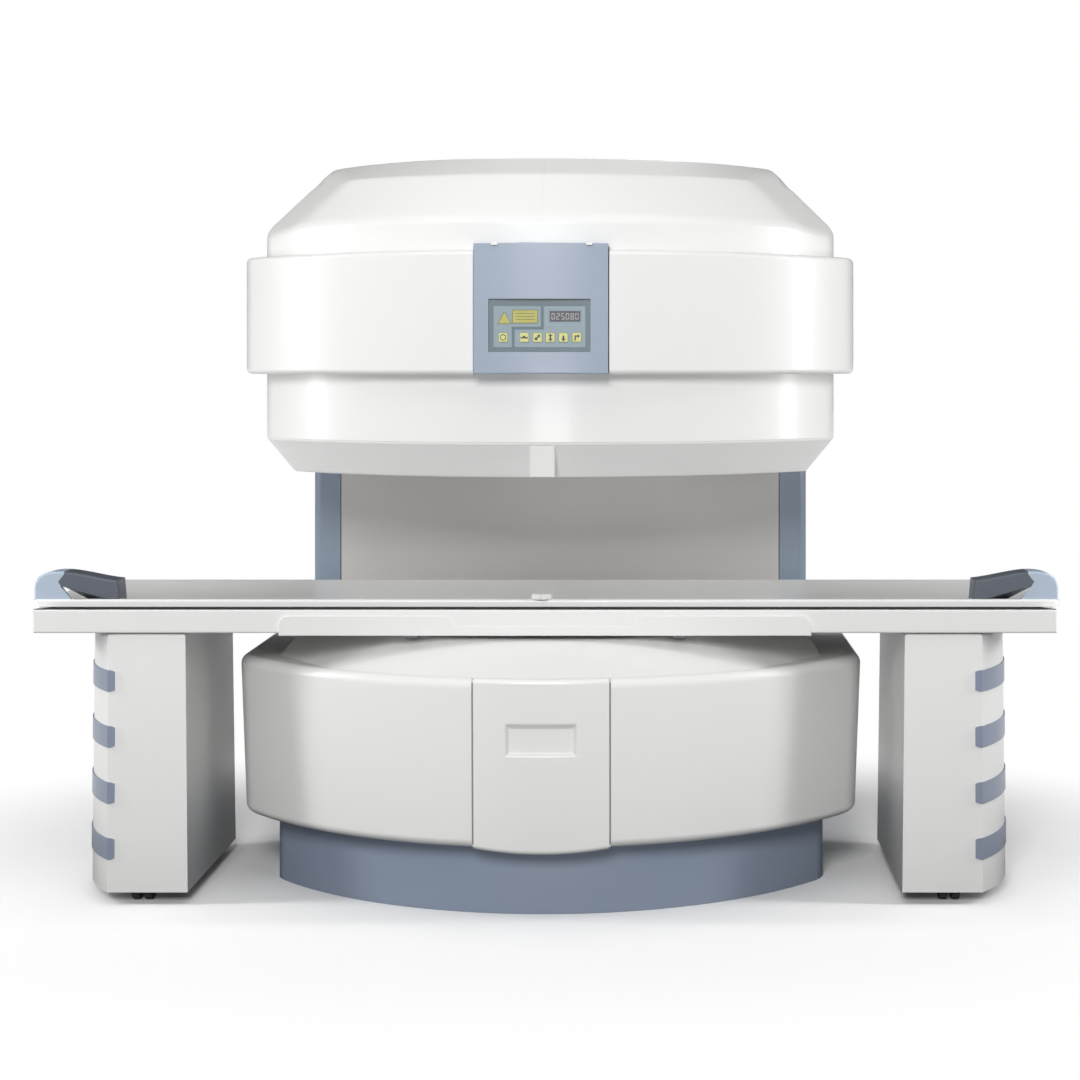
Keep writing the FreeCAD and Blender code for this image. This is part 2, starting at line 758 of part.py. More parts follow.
def yoke_bolt_spots():
    y_mid = axis_y + (yoke_column_front + yoke_back) / 2
    rows = (y_mid - yoke_bolt_row_offset, y_mid + yoke_bolt_row_offset)
    return [(i * yoke_bolt_spacing, y) for i in (-1, 0, 1) for y in rows]


def drill_bolts(shape, z_head, way):
    for x, y in yoke_bolt_spots():
        low, high = sorted((z_head, z_head - way * yoke_bolt_length))
        shape = shape.cut(post(yoke_bolt_diameter / 2 + yoke_bolt_clearance, x, y, low - 1, high + 1))
    return shape


def make_yoke_plate():
    nose = post(yoke_nose_radius, 0, axis_y, plinth_floor, magnet_bottom)
    shoulder = [(-yoke_nose_radius, axis_y), (yoke_nose_radius, axis_y),
                (yoke_column_half_width, axis_y + yoke_column_front),
                (yoke_column_half_width, axis_y + yoke_back), (-yoke_column_half_width, axis_y + yoke_back),
                (-yoke_column_half_width, axis_y + yoke_column_front)]
    return clean(nose.fuse(along_z(shoulder, plinth_floor, magnet_bottom)))


def make_yoke_column():
    half = yoke_column_half_width
    column = box(-half, half, axis_y + yoke_column_front, axis_y + yoke_back, magnet_bottom,
                 2 * isocentre_z - magnet_bottom)
    return drill_bolts(column, yoke_top, 1)


def make_magnet():
    disc = post(magnet_radius, 0, axis_y, magnet_bottom, shoe_bottom)
    return disc.makeFillet(magnet_round, level_edges(disc, shoe_bottom))


def make_pole_shoe():
    """Iron pole piece with a raised shim ring round its face."""
    rim_top = shoe_bottom + pole_shoe_thickness + pole_rim_height
    disc = post(magnet_radius, 0, axis_y, shoe_bottom, rim_top)
    disc = disc.makeChamfer(pole_rim_bevel, level_edges(disc, rim_top))
    well = post(magnet_radius - pole_rim_width, 0, axis_y, shoe_bottom + pole_shoe_thickness, rim_top + 1)
    return disc.cut(well)


def make_gradient_coil():
    radius = magnet_radius - pole_rim_width - gradient_clearance
    base = shoe_bottom + pole_shoe_thickness
    return post(radius, 0, axis_y, base, base + gradient_thickness)


def make_rf_coil():
    base = shoe_bottom + pole_shoe_thickness + gradient_thickness
    disc = post(rf_radius, 0, axis_y, base, base + rf_thickness)
    return disc.makeFillet(rf_round, level_edges(disc, base + rf_thickness))


def make_yoke_bolts():
    bolts = []
    for x, y in yoke_bolt_spots():
        shank = post(yoke_bolt_diameter / 2, x, y, yoke_top - yoke_bolt_length, yoke_top)
        head = post(yoke_bolt_head / 2, x, y, yoke_top, yoke_top + yoke_bolt_head_height)
        bolts.append(clean(shank.fuse(head)))
    return Part.makeCompound(bolts)


# ---- table frame --------------------------------------------------------------------------------
frame_floor = frame_bottom + frame_wall


def shoe_places():
    return [(x, y) for x in (-cross_rail_place, cross_rail_place)
            for y in (-cross_shoe_reach, cross_shoe_reach)]


def make_bed_frame():
    """Long tray with turned-in upper edges, guide blocks on its floor and shoes under it."""
    length, width = frame_half_length, frame_half_width
    tray = box(-length, length, axis_y - width, axis_y + width, frame_bottom, frame_top)
    long_edges = [e for e in tray.Edges if e.BoundBox.XLength > length]
    tray = tray.makeFillet(edge_round, long_edges + upright_edges(tray))
    inner = width - frame_wall
    tray = tray.cut(box(-length + frame_wall, length - frame_wall, axis_y - inner, axis_y + inner,
                        frame_floor, frame_top - frame_wall))
    mouth = frame_trough_half_width
    tray = tray.cut(box(-frame_end_opening, frame_end_opening, axis_y - mouth, axis_y + mouth,
                        frame_floor, frame_top + 1))
    tray = tray.cut(box(-length - 1, length + 1, axis_y - mouth, axis_y + mouth, frame_end_cut_bottom,
                        frame_top + 1))
    slot = keel_half_width + keel_clearance
    for side in (-1, 1):
        x = side * keel_guide_place
        for hand in (-1, 1):
            y0, y1 = sorted((axis_y + hand * slot, axis_y + hand * keel_guide_half_width))
            tray = tray.fuse(box(x - keel_guide_length / 2, x + keel_guide_length / 2, y0, y1,
                                 frame_floor - 1, frame_floor + keel_guide_height))
    for x, y in shoe_places():
        tray = tray.fuse(cross_shoe(x, axis_y + y))
    return clean(tray)


def cross_shoe(x, y):
    """Shoe under the tray that straddles a cross rail."""
    rail_top = lower_top + dome_height + cross_rail_height
    shoe = box(x - cross_shoe_width / 2, x + cross_shoe_width / 2, y - cross_shoe_length / 2,
               y + cross_shoe_length / 2, lower_top + dome_height + 3 * cross_fit, frame_bottom)
    groove = cross_rail_width / 2 + cross_fit
    return shoe.cut(box(x - groove, x + groove, -reach, reach, 0, rail_top + cross_fit))


def make_cross_rails():
    base = lower_top + dome_height
    rails = []
    for x in (-cross_rail_place, cross_rail_place):
        rail = box(x - cross_rail_width / 2, x + cross_rail_width / 2, axis_y - cross_rail_half_length,
                   axis_y + cross_rail_half_length, base, base + cross_rail_height)
        rails.append(rail)
    return Part.makeCompound(rails)


def make_bridge_bracket():
    """Long plate on the front of the frame, with a lowered middle and rounded corners."""
    half, notch, slant = bracket_half_width, bracket_notch_half_width, bracket_slant
    profile = [(-half, bracket_bottom), (half, bracket_bottom), (half, bracket_top),
               (notch + slant, bracket_top), (notch, bracket_notch_top), (-notch, bracket_notch_top),
               (-notch - slant, bracket_top), (-half, bracket_top)]
    front = axis_y - frame_half_width - bracket_thickness
    plate = along_y(profile, front, front + bracket_thickness)
    corners = [e for e in plate.Edges if e.BoundBox.YLength > bracket_thickness / 2
               and e.BoundBox.ZMin > bracket_top - 1]
    plate = plate.makeFillet(bracket_corner, corners)
    rim = [e for e in plate.Edges if e.BoundBox.YMax < front + 0.01]
    return plate.makeChamfer(bracket_bevel, rim)


def make_ledge_strips():
    """Flat strips beside the tabletop, cut slantwise at their ends."""
    half, slant = ledge_half_length, ledge_end_slant
    strips = []
    for side in (-1, 1):
        outline = [(-half, axis_y + side * ledge_outer), (half, axis_y + side * ledge_outer),
                   (half - slant, axis_y + side * ledge_inner), (-half + slant, axis_y + side * ledge_inner)]
        strips.append(along_z(outline, frame_top, frame_top + ledge_thickness))
    return Part.makeCompound(strips)


# ---- tabletop -----------------------------------------------------------------------------------
def dish_face(depth_top, half_width, z_edge, z_cap):
    """Section between a shallow arc that hangs from two edges and a flat line above it."""
    left = vec(0, axis_y - half_width, z_edge)
    right = vec(0, axis_y + half_width, z_edge)
    low = vec(0, axis_y, z_edge - depth_top)
    up_left = vec(0, axis_y - half_width, z_cap)
    up_right = vec(0, axis_y + half_width, z_cap)
    edges = [Part.Arc(left, low, right).toShape(), Part.LineSegment(right, up_right).toShape(),
             Part.LineSegment(up_right, up_left).toShape(), Part.LineSegment(up_left, left).toShape()]
    return Part.Face(Part.Wire(edges))


def make_tabletop():
    """Hard tabletop, dished along its length, with a rounded lip and a guide keel under it."""
    length, width = tabletop_half_length, tabletop_half_width
    bottom = tabletop_top - tabletop_lip
    top = box(-length, length, axis_y - width, axis_y + width, bottom, tabletop_top)
    top = top.makeFillet(tabletop_corner, upright_edges(top))
    top = top.makeFillet(tabletop_round, level_edges(top, tabletop_top))
    belly = dish_face(tabletop_dish, frame_trough_half_width - tabletop_belly_clearance, bottom, bottom + 1)
    belly.translate(vec(-length + tabletop_corner, 0, 0))
    top = top.fuse(belly.extrude(vec(2 * (length - tabletop_corner), 0, 0)))
    keel = box(-keel_half_length, keel_half_length, axis_y - keel_half_width, axis_y + keel_half_width,
               bottom - tabletop_dish - keel_depth + tabletop_lip / 2, bottom)
    top = top.fuse(keel)
    hollow = dish_face(tabletop_dish, width - tabletop_rim, tabletop_top, tabletop_top + tabletop_lip)
    hollow.translate(vec(-length - 1, 0, 0))
    top = top.cut(hollow.extrude(vec(2 * length + 2, 0, 0)))
    x, y = knob_place
    top = top.cut(post(knob_stem / 2 + knob_fit, x, axis_y + y, bottom - 1, tabletop_top + 1))
    return clean(top)


def handle_points(profile, y):
    """Points of a grip's profile, given from its outer end and the tabletop's surface."""
    return [vec(tabletop_half_length - handle_end_gap - back, y, tabletop_top + up)
            for back, up in profile]


def make_handle(tabletop):
    """Moulded grip on the front lip: a domed fin at the end, a strap, and a scoop for the fingers."""
    y0 = axis_y - tabletop_half_width + handle_front_gap
    foot = tabletop_top - tabletop_lip
    crown = handle_points(handle_crown, y0)
    inner = crown[0].x - handle_length
    curve = Part.BSplineCurve()
    curve.interpolate(Points=crown)
    edges = [Part.LineSegment(vec(crown[0].x, y0, foot), crown[0]).toShape(), curve.toShape(),
             Part.LineSegment(crown[-1], vec(inner, y0, foot)).toShape(),
             Part.LineSegment(vec(inner, y0, foot), vec(crown[0].x, y0, foot)).toShape()]
    body = Part.Face(Part.Wire(edges)).extrude(vec(0, handle_depth, 0))
    sides = [y0, y0 + handle_depth]
    rim = [e for e in body.Edges if e.BoundBox.ZMax > tabletop_top + 1 and e.BoundBox.YLength < 1
           and min(abs(e.BoundBox.YMin - side) for side in sides) < 1]
    body = body.makeFillet(handle_round, rim)
    scoop = Part.makeLoft([Part.makePolygon(points + points[:1]) for points in
                           (handle_points(handle_scoop_front, y0 - 1),
                            handle_points(handle_scoop_rear, y0 + handle_depth + 1))], True, True)
    return clean(body.cut(scoop).cut(tabletop))


def make_brake_knob():
    """Fluted flat knob on the lip, with a stem down through it."""
    x, y = knob_place[0], axis_y + knob_place[1]
    base = tabletop_top + knob_lift
    disc = post(knob_diameter / 2, x, y, base, base + knob_thickness)
    disc = disc.makeFillet(knob_round, level_edges(disc, base + knob_thickness))
    for i in range(knob_flute_count):
        turn = 2 * math.pi * i / knob_flute_count
        ring = knob_diameter / 2 + knob_flute_set_out
        disc = disc.cut(post(knob_flute_radius, x + ring * math.cos(turn), y + ring * math.sin(turn),
                             base - 1, base + knob_thickness + 1))
    stem = post(knob_stem / 2, x, y, tabletop_top - tabletop_lip + runner_clearance, base)
    return clean(disc.fuse(stem))


# ---- pedestals ----------------------------------------------------------------------------------
pedestal_top = frame_bottom - pedestal_reveal


def pedestal_wire(z, grow):
    """Plan of a pedestal: square towards the magnet, bowed out at the far side."""
    x0 = pedestal_inner - grow
    x1 = pedestal_flat_end
    apex = pedestal_apex + grow
    y0 = axis_y - pedestal_half_width - grow
    y1 = axis_y + pedestal_half_width + grow
    edges = [Part.LineSegment(vec(x0, y0, z), vec(x1, y0, z)).toShape(),
             Part.Arc(vec(x1, y0, z), vec(apex, axis_y, z), vec(x1, y1, z)).toShape(),
             Part.LineSegment(vec(x1, y1, z), vec(x0, y1, z)).toShape(),
             Part.LineSegment(vec(x0, y1, z), vec(x0, y0, z)).toShape()]
    return Part.Wire(edges)


def pedestal_block(grow, z0, z1):
    """Drafted block of a pedestal between two heights, grown outwards by a given amount."""
    def flare(z):
        return grow + pedestal_draft * (pedestal_top - z) / (pedestal_top - pedestal_bottom)
    return Part.makeLoft([pedestal_wire(z0, flare(z0)), pedestal_wire(z1, flare(z1))], True, True)


def leg_hole(growth):
    y = leg_post_half_width + growth
    return box(leg_post_inner - growth, leg_post_outer + growth, axis_y - y, axis_y + y, 0, reach)


def make_pedestal():
    outer = pedestal_block(0.0, pedestal_bottom, pedestal_top)
    outer = outer.makeFillet(pedestal_round, level_edges(outer, pedestal_top))
    inner = pedestal_block(-pedestal_wall, pedestal_bottom - 1, pedestal_top - pedestal_wall)
    return outer.cut(inner).cut(leg_hole(leg_post_clearance))


def make_stripes():
    """Four trim strips that wrap the bowed side, each with rounded ends."""
    skin = pedestal_block(stripe_proud, pedestal_bottom, pedestal_top)
    skin = skin.cut(pedestal_block(0.0, pedestal_bottom, pedestal_top))
    strips = []
    for centre in stripe_centres:
        z0, z1 = centre - stripe_height / 2, centre + stripe_height / 2
        window = box(pedestal_flat_end - stripe_end_round, reach, -reach, reach, z0, z1)
        corners = [e for e in window.Edges
                   if e.BoundBox.XMax < pedestal_flat_end and e.BoundBox.YLength > reach]
        strips.append(skin.common(window.makeFillet(stripe_end_round, corners)))
    return Part.makeCompound(strips)


def make_leg_frame():
    """Welded inner leg: a plate for the casters with a hollow post up to the table frame."""
    z0, z1 = leg_plate_bottom, leg_plate_bottom + leg_plate_thickness
    plate = pedestal_block(-pedestal_wall, pedestal_bottom - 1, pedestal_top - pedestal_wall)
    plate = plate.common(box(0, reach, -reach, reach, z0, z1))
    column = leg_hole(0.0).common(box(0, reach, -reach, reach, z1 - 1, frame_bottom))
    hollow = box(0, reach, -reach, reach, z1, frame_bottom - leg_post_wall)
    column = column.cut(leg_hole(-leg_post_wall).common(hollow))
    leg = clean(plate.fuse(column))
    for y in (-caster_place[1], caster_place[1]):
        leg = leg.cut(post(stem_diameter / 2 + stem_fit, caster_place[0], axis_y + y, z0 - 1, z1 + 1))
    return leg


# ---- casters ------------------------------------------------------------------------------------
wheel_z = wheel_diameter / 2


def make_caster_fork(x, y):
    """Swivel body of a twin-wheel caster: stem, flange and a web between the wheels."""
    flange_top = leg_plate_bottom - caster_flange_gap
    flange_bottom = flange_top - caster_flange_thickness
    head_bottom = leg_plate_bottom + leg_plate_thickness + caster_flange_gap
    stem = post(stem_diameter / 2, x, y, flange_bottom, head_bottom)
    flange = post(caster_flange_diameter / 2, x, y, flange_bottom, flange_top)
    head = post(caster_head_diameter / 2, x, y, head_bottom, head_bottom + caster_head_height)
    half = caster_web / 2
    axle_y = y - caster_trail
    web = box(x - half, x + half, axle_y, y + caster_flange_diameter / 4, wheel_z, flange_bottom)
    nose = Part.makeCylinder(wheel_diameter / 3, caster_web, vec(x - half, axle_y, wheel_z), vec(1, 0, 0))
    fork = stem.fuse([flange, head, web, nose])
    bore = Part.makeCylinder(axle_diameter / 2 + axle_fit, caster_web + 2, vec(x - half - 1, axle_y, wheel_z),
                             vec(1, 0, 0))
    return clean(fork.cut(bore))


def make_caster_wheels(x, y):
    """Two wheels on one axle."""
    axle_y = y - caster_trail
    near = caster_web / 2 + wheel_gap
    far = near + wheel_width
    axle = Part.makeCylinder(axle_diameter / 2, 2 * far, vec(x - far, axle_y, wheel_z), vec(1, 0, 0))
    for side in (-far, near):
        disc = Part.makeCylinder(wheel_diameter / 2, wheel_width, vec(x + side, axle_y, wheel_z), vec(1, 0, 0))
        rims = [e for e in disc.Edges if e.BoundBox.XLength < 0.01]
        axle = axle.fuse(disc.makeFillet(wheel_round, rims))
    return clean(axle)


# ---- all pieces by name -------------------------------------------------------------------------
def export(name, shape):
    """Write one piece, after a look at whether its solids are sound."""
    solids = shape.Solids
    if not solids or not all(s.isValid() and s.Volume > 0 for s in solids):
        raise ValueError("unsound solid in " + name)
    body = solids[0] if len(solids) == 1 else Part.makeCompound(solids)
    body.exportStep("parts/" + name + ".step")
    print(name, len(solids), round(sum(s.Volume for s in solids) / 1e6, 3))


def build():
    os.makedirs("parts", exist_ok=True)
    export("base_plinth", make_base_plinth())

    plate, magnet, shoe = make_yoke_plate(), make_magnet(), make_pole_shoe()
    gradient, rf_coil = make_gradient_coil(), make_rf_coil()
    export("yoke_lower_plate", plate)
    export("yoke_upper_plate", drill_bolts(about_isocentre(plate), yoke_top, 1))
    export("yoke_column", make_yoke_column())
    export("yoke_bolts", make_yoke_bolts())
    for name, piece in (("magnet", magnet), ("pole_shoe", shoe), ("gradient_coil", gradient),
                        ("rf_coil", rf_coil)):
        export(name + "_lower", piece)
        export(name + "_upper", about_isocentre(piece))

    lower_left, lower_right = make_lower_covers()
    export("lower_cover_left", lower_left)
    export("lower_cover_right", lower_right)
    export("hatch_frame", make_hatch_frame())
    export("front_hatch", make_front_hatch())
    export("lower_pole_cover", make_lower_pole_cover())

    export("upper_pole_cover", make_upper_pole_cover())
    export("upper_skirt_cover", make_upper_skirt_cover())
    band_left, band_right = make_upper_bands()
    export("upper_band_left", band_left)
    export("upper_band_right", band_right)
    export("top_cover", make_top_cover())
    export("laser_window", make_laser_window())

    export("control_housing", make_control_housing())
    export("keypad_plate", make_keypad_plate())
    export("display_window", make_display_window())
    export("indicator_lamps", make_indicator_lamps())
    for number, x in enumerate(key_places, 1):
        export("key_%d" % number, make_key(x))

    names = ("column_front_cover", "column_side_left", "column_side_right", "column_rear_cover")
    for name, cover in zip(names, make_column_covers()):
        export(name, cover)

    export("cross_rails", make_cross_rails())
    export("bed_frame", make_bed_frame())
    export("bridge_bracket", make_bridge_bracket())
    export("ledge_strips", make_ledge_strips())

    tabletop = make_tabletop()
    handle = make_handle(tabletop)
    export("tabletop", tabletop)
    export("handle_right", handle)
    export("handle_left", mirrored(handle))
    export("brake_knob", make_brake_knob())

    for name, piece in (("pedestal", make_pedestal()), ("pedestal_stripes", make_stripes()),
                        ("leg_frame", make_leg_frame())):
        export(name + "_right", piece)
        export(name + "_left", mirrored(piece))

    for side, x in (("left", -caster_place[0]), ("right", caster_place[0])):
        for end, y in (("front", axis_y - caster_place[1]), ("rear", axis_y + caster_place[1])):
            export("caster_fork_" + side + "_" + end, make_caster_fork(x, y))
            export("caster_wheels_" + side + "_" + end, make_caster_wheels(x, y))


build()
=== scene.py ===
"""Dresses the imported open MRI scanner: moulded covers, control housing, patient table, finishes and stage.

Metres, +Z up, +Y to the rear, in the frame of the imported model.
"""
import json
import math
from contextlib import contextmanager

import bmesh
import bpy
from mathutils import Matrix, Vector


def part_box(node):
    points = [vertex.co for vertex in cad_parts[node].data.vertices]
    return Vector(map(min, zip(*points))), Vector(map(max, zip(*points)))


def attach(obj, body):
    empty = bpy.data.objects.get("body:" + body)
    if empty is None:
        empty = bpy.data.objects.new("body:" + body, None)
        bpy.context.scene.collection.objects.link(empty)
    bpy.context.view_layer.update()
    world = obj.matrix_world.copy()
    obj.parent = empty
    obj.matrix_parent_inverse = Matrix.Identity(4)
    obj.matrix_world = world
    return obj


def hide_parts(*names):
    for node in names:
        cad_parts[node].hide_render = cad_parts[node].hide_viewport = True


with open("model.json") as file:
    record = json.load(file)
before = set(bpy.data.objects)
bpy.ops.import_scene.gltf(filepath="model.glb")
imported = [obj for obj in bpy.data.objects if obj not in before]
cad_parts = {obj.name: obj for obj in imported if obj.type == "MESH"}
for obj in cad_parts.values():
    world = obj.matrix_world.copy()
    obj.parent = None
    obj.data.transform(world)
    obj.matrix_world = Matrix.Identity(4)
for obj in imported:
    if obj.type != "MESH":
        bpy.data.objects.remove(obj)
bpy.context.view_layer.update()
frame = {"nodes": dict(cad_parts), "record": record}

bl_info = {
    "name": "Open MRI scanner",
    "version": (1, 0, 0),
    "blender": (4, 5, 0),
    "location": "View3D > Sidebar > Scanner",
    "description": "Builds the covers, controls, table and finishes of an open MRI scanner",
    "category": "Add Mesh",
}

NODES = frame["nodes"]
BODIES = frame["record"]["behaviour"]["bodies"]
SIDES = ((1, "right"), (-1, "left"))

AXIS_Y = -0.247                 # magnet axis
ARC_Y = 0.305                   # centre of all front curves
REAR_Y = 0.750
LOWER_BOTTOM = 0.188
LOWER_RIM = 0.615
LOWER_DRAFT = 0.016
UPPER_RIM = 1.775
HATCH_EDGE = 0.1716             # half width of the hatch and of the gap between the band's halves

# plan of a cover: half width, front radius, corner radius
PLINTH = (0.748, 0.940, 0.100)
LOWER = (0.852, 1.040, 0.175)
UPPER = (0.775, 0.987, 0.110)
BAND = (0.828, 1.040, 0.135)


def body_name(node):
    """Name of the body that a CAD node belongs to."""
    for body, members in BODIES.items():
        if node in members:
            return body
    raise RuntimeError("no body holds " + node)


# ---- node trees ----
MATH = "ShaderNodeMath"
NOISE = "ShaderNodeTexNoise"
RANGE = "ShaderNodeMapRange"
SPLIT = "ShaderNodeSeparateXYZ"
BUMP = "ShaderNodeBump"

EFFECTS = {}


def set_values(node, values):
    """Values of a node: a lower-case name is a setting, any other name or a number is a socket."""
    for label, value in values.items():
        if isinstance(label, str) and label.islower():
            setattr(node, label, value)
        else:
            node.inputs[label].default_value = value


def grow(tree, known, nodes, links):
    """Add nodes to a tree and join them with each other and with the known ones.

    nodes gives each name its kind and values; a kind can be a shared effect, which then reads the Object
    coordinates. links reads "node.Output > node.Input; ...", where a socket is a name or a number.
    """
    made = dict(known)
    for name, (kind, values) in nodes.items():
        if kind in EFFECTS:
            made[name] = tree.nodes.new("ShaderNodeGroup")
            made[name].node_tree = EFFECTS[kind]
            tree.links.new(made["place"].outputs["Object"], made[name].inputs["Vector"])
        else:
            made[name] = tree.nodes.new(kind)
        set_values(made[name], values)
    for link in links.split(";"):
        ends = [side.strip().split(".") for side in link.split(">")]
        start, end = [(made[name], int(socket) if socket.isdigit() else socket) for name, socket in ends]
        tree.links.new(start[0].outputs[start[1]], end[0].inputs[end[1]])


def new_group(name, kind, inputs, output, nodes, links):
    """Node group with its inputs (a type or a default value each) and its output (name and type)."""
    tree = bpy.data.node_groups.new(name, kind)
    for label, value in inputs.items():
        given = value if isinstance(value, str) else "Float" if isinstance(value, float) else "Vector"
        socket = tree.interface.new_socket(name=label, in_out="INPUT", socket_type="NodeSocket" + given)
        if given != value:
            socket.default_value = value
    tree.interface.new_socket(name=output[0], in_out="OUTPUT", socket_type="NodeSocket" + output[1])
    known = {"in": tree.nodes.new("NodeGroupInput"), "out": tree.nodes.new("NodeGroupOutput")}
    grow(tree, known, nodes, links)
    return tree


def new_effect(name, inputs, output, nodes, links):
    inputs = {"Vector": "Vector", **inputs}
    EFFECTS[name] = new_group(name, "ShaderNodeTree", inputs, (output, "Float"), nodes, links)


def make_effects():
    """Shared effects of the finishes."""
    # soft uneven patches, between a low and a high value
    new_effect(
        "Mottle", {"Scale": 4.0, "Low": 0.0, "High": 1.0}, "Value",
        {"noise": (NOISE, {"Detail": 4.0, "Roughness": 0.6}),
         "spread": (RANGE, {"From Min": 0.2, "From Max": 0.8})},
        "in.Vector > noise.Vector; in.Scale > noise.Scale; noise.Fac > spread.Value; in.Low > spread.To Min;"
        "in.High > spread.To Max; spread.Result > out.Value")
    # fine moulded texture: a long wave of the mould with a small grain on it
    new_effect(
        "Moulded Grain", {"Wave Scale": 9.0, "Grain Scale": 700.0, "Grain Share": 0.15}, "Height",
        {"wave": (NOISE, {"Detail": 2.0}), "grain": (NOISE, {"Detail": 3.0, "Roughness": 0.65}),
         "sum": (MATH, {"operation": "MULTIPLY_ADD"})},
        "in.Vector > wave.Vector; in.Wave Scale > wave.Scale; in.Vector > grain.Vector;"
        "in.Grain Scale > grain.Scale; grain.Fac > sum.0; in.Grain Share > sum.1; wave.Fac > sum.2;"
        "sum.0 > out.Height")
    # mask of dust that gathers towards the floor
    new_effect(
        "Dust", {"Reach": 0.5, "Amount": 0.3}, "Mask",
        {"parts": (SPLIT, {}), "fall": (RANGE, {"From Min": 0.0, "To Min": 1.0, "To Max": 0.0}),
         "cloud": (NOISE, {"Scale": 5.0, "Detail": 4.0, "Roughness": 0.6}),
         "both": (MATH, {"operation": "MULTIPLY"}), "level": (MATH, {"operation": "MULTIPLY"})},
        "in.Vector > parts.Vector; in.Vector > cloud.Vector; parts.Z > fall.Value; in.Reach > fall.From Max;"
        "fall.Result > both.0; cloud.Fac > both.1; both.0 > level.0; in.Amount > level.1;"
        "level.0 > out.Mask")
    # long fine scratches along one direction
    new_effect(
        "Brushed Lines", {"Stretch": (6.0, 6.0, 400.0)}, "Height",
        {"stretched": ("ShaderNodeVectorMath", {"operation": "MULTIPLY"}),
         "noise": (NOISE, {"Scale": 1.0, "Detail": 5.0, "Roughness": 0.7})},
        "in.Vector > stretched.0; in.Stretch > stretched.1; stretched.0 > noise.Vector;"
        "noise.Fac > out.Height")


# ---- finishes ----
PALE_DUST = (0.52, 0.50, 0.46)
DARK_DUST = (0.30, 0.29, 0.27)


def new_finish(name, values, nodes, links):
    """Material grown round its Principled shader and its Object coordinates."""
    material = bpy.data.materials.new(name)
    material.use_nodes = True
    tree = material.node_tree
    known = {"shader": tree.nodes["Principled BSDF"], "surface": tree.nodes["Material Output"],
             "place": tree.nodes.new("ShaderNodeTexCoord")}
    set_values(known["shader"], values)
    grow(tree, known, nodes, links)
    return material


def mix(first, second):
    """Node that mixes two colours: socket 0 is the mask, 6 and 7 are the colours, 2 is the result."""
    return "ShaderNodeMix", {"data_type": "RGBA", 6: (*first, 1.0), 7: (*second, 1.0)}


def shade(colour, factor):
    return tuple(channel * factor for channel in colour)


def piece_finish(name, values, gloss, relief, nodes, links):
    """Finish with uneven gloss (scale, low, high) and a relief (effect, its values, strength, distance)."""
    nodes["gloss"] = ("Mottle", dict(zip(("Scale", "Low", "High"), gloss)))
    links += "; gloss.Value > shader.Roughness"
    if relief:
        nodes["relief"] = relief[:2]
        nodes["bump"] = (BUMP, {"Strength": relief[2], "Distance": relief[3]})
        links += "; relief.Height > bump.Height; bump.Normal > shader.Normal"
    new_finish("scanner_" + name, values, nodes, links)


def moulded_finish(name, colour, low, high, coat, grain, share=0.15, dust=0.0, tint=0.035):
    """Sprayed or gel-coated moulding: uneven gloss, a slight wave of the mould and a fine grain."""
    nodes = {"patch": ("Mottle", {"Scale": 2.3}),
             "paint": mix(shade(colour, 1.0 + tint / 2), shade(colour, 1.0 - tint / 2))}
    links = "patch.Value > paint.0; paint.2 > "
    if dust > 0.0:
        nodes["film"] = ("Dust", {"Reach": 0.55, "Amount": dust})
        nodes["dusty"] = mix(colour, PALE_DUST)
        links += "dusty.6; film.Mask > dusty.0; dusty.2 > "
    piece_finish(name, {"Coat Weight": coat, "Coat Roughness": 0.12}, (7.0, low, high),
                 ("Moulded Grain", {"Grain Scale": grain, "Grain Share": share}, 0.12, 0.0012),
                 nodes, links + "shader.Base Color")


def steel_finish(name, colour, roughness, stretch=(6.0, 6.0, 400.0), metallic=1.0):
    """Bare or lacquered steel with drawn lines."""
    piece_finish(name, {"Metallic": metallic}, (20.0, roughness * 0.75, roughness * 1.25),
                 ("Brushed Lines", {"Stretch": stretch}, 0.1, 0.0005),
                 {"paint": mix(shade(colour, 0.86), shade(colour, 1.1))},
                 "relief.Height > paint.0; paint.2 > shader.Base Color")


def rubber_finish(name, colour, roughness=0.62, dust=0.25, specular=0.5):
    """Matt rubber or rough black plastic with a little dust low down."""
    piece_finish(name, {"Specular IOR Level": specular}, (30.0, roughness - 0.08, roughness + 0.08),
                 ("Moulded Grain", {"Wave Scale": 60.0, "Grain Scale": 1500.0, "Grain Share": 0.6},
                  0.3, 0.0004),
                 {"film": ("Dust", {"Reach": 0.12, "Amount": dust}), "paint": mix(colour, DARK_DUST)},
                 "film.Mask > paint.0; paint.2 > shader.Base Color")


def film_finish(name, border, field, step_y):
    """Printed overlay film: the raised fields are light, and all behind them is the border's colour."""
    piece_finish(name, {"Coat Weight": 0.25, "Coat Roughness": 0.25}, (90.0, 0.32, 0.42),
                 ("Moulded Grain", {"Wave Scale": 25.0, "Grain Scale": 2600.0, "Grain Share": 0.5},
                  0.12, 0.0004),
                 {"parts": (SPLIT, {}), "front": (MATH, {"operation": "LESS_THAN", 1: step_y}),
                  "weave": ("Mottle", {"Scale": 60.0, "High": 0.35}), "light": mix(field, shade(field, 0.88)),
                  "paint": mix(border, field)},
                 "place.Object > parts.Vector; parts.Y > front.0; weave.Value > light.0; light.2 > paint.7;"
                 "front.0 > paint.0; paint.2 > shader.Base Color")


def lens_finish(name, colour, glow):
    """Tinted clear plastic of a window or lamp, faintly lit from behind."""
    piece_finish(name, {"Coat Weight": 0.6, "Coat Roughness": 0.05, "IOR": 1.5, "Emission Strength": glow},
                 (50.0, 0.12, 0.22), None,
                 {"patch": ("Mottle", {"Scale": 120.0}), "paint": mix(colour, shade(colour, 0.85))},
                 "patch.Value > paint.0; paint.2 > shader.Base Color; paint.2 > shader.Emission Color")


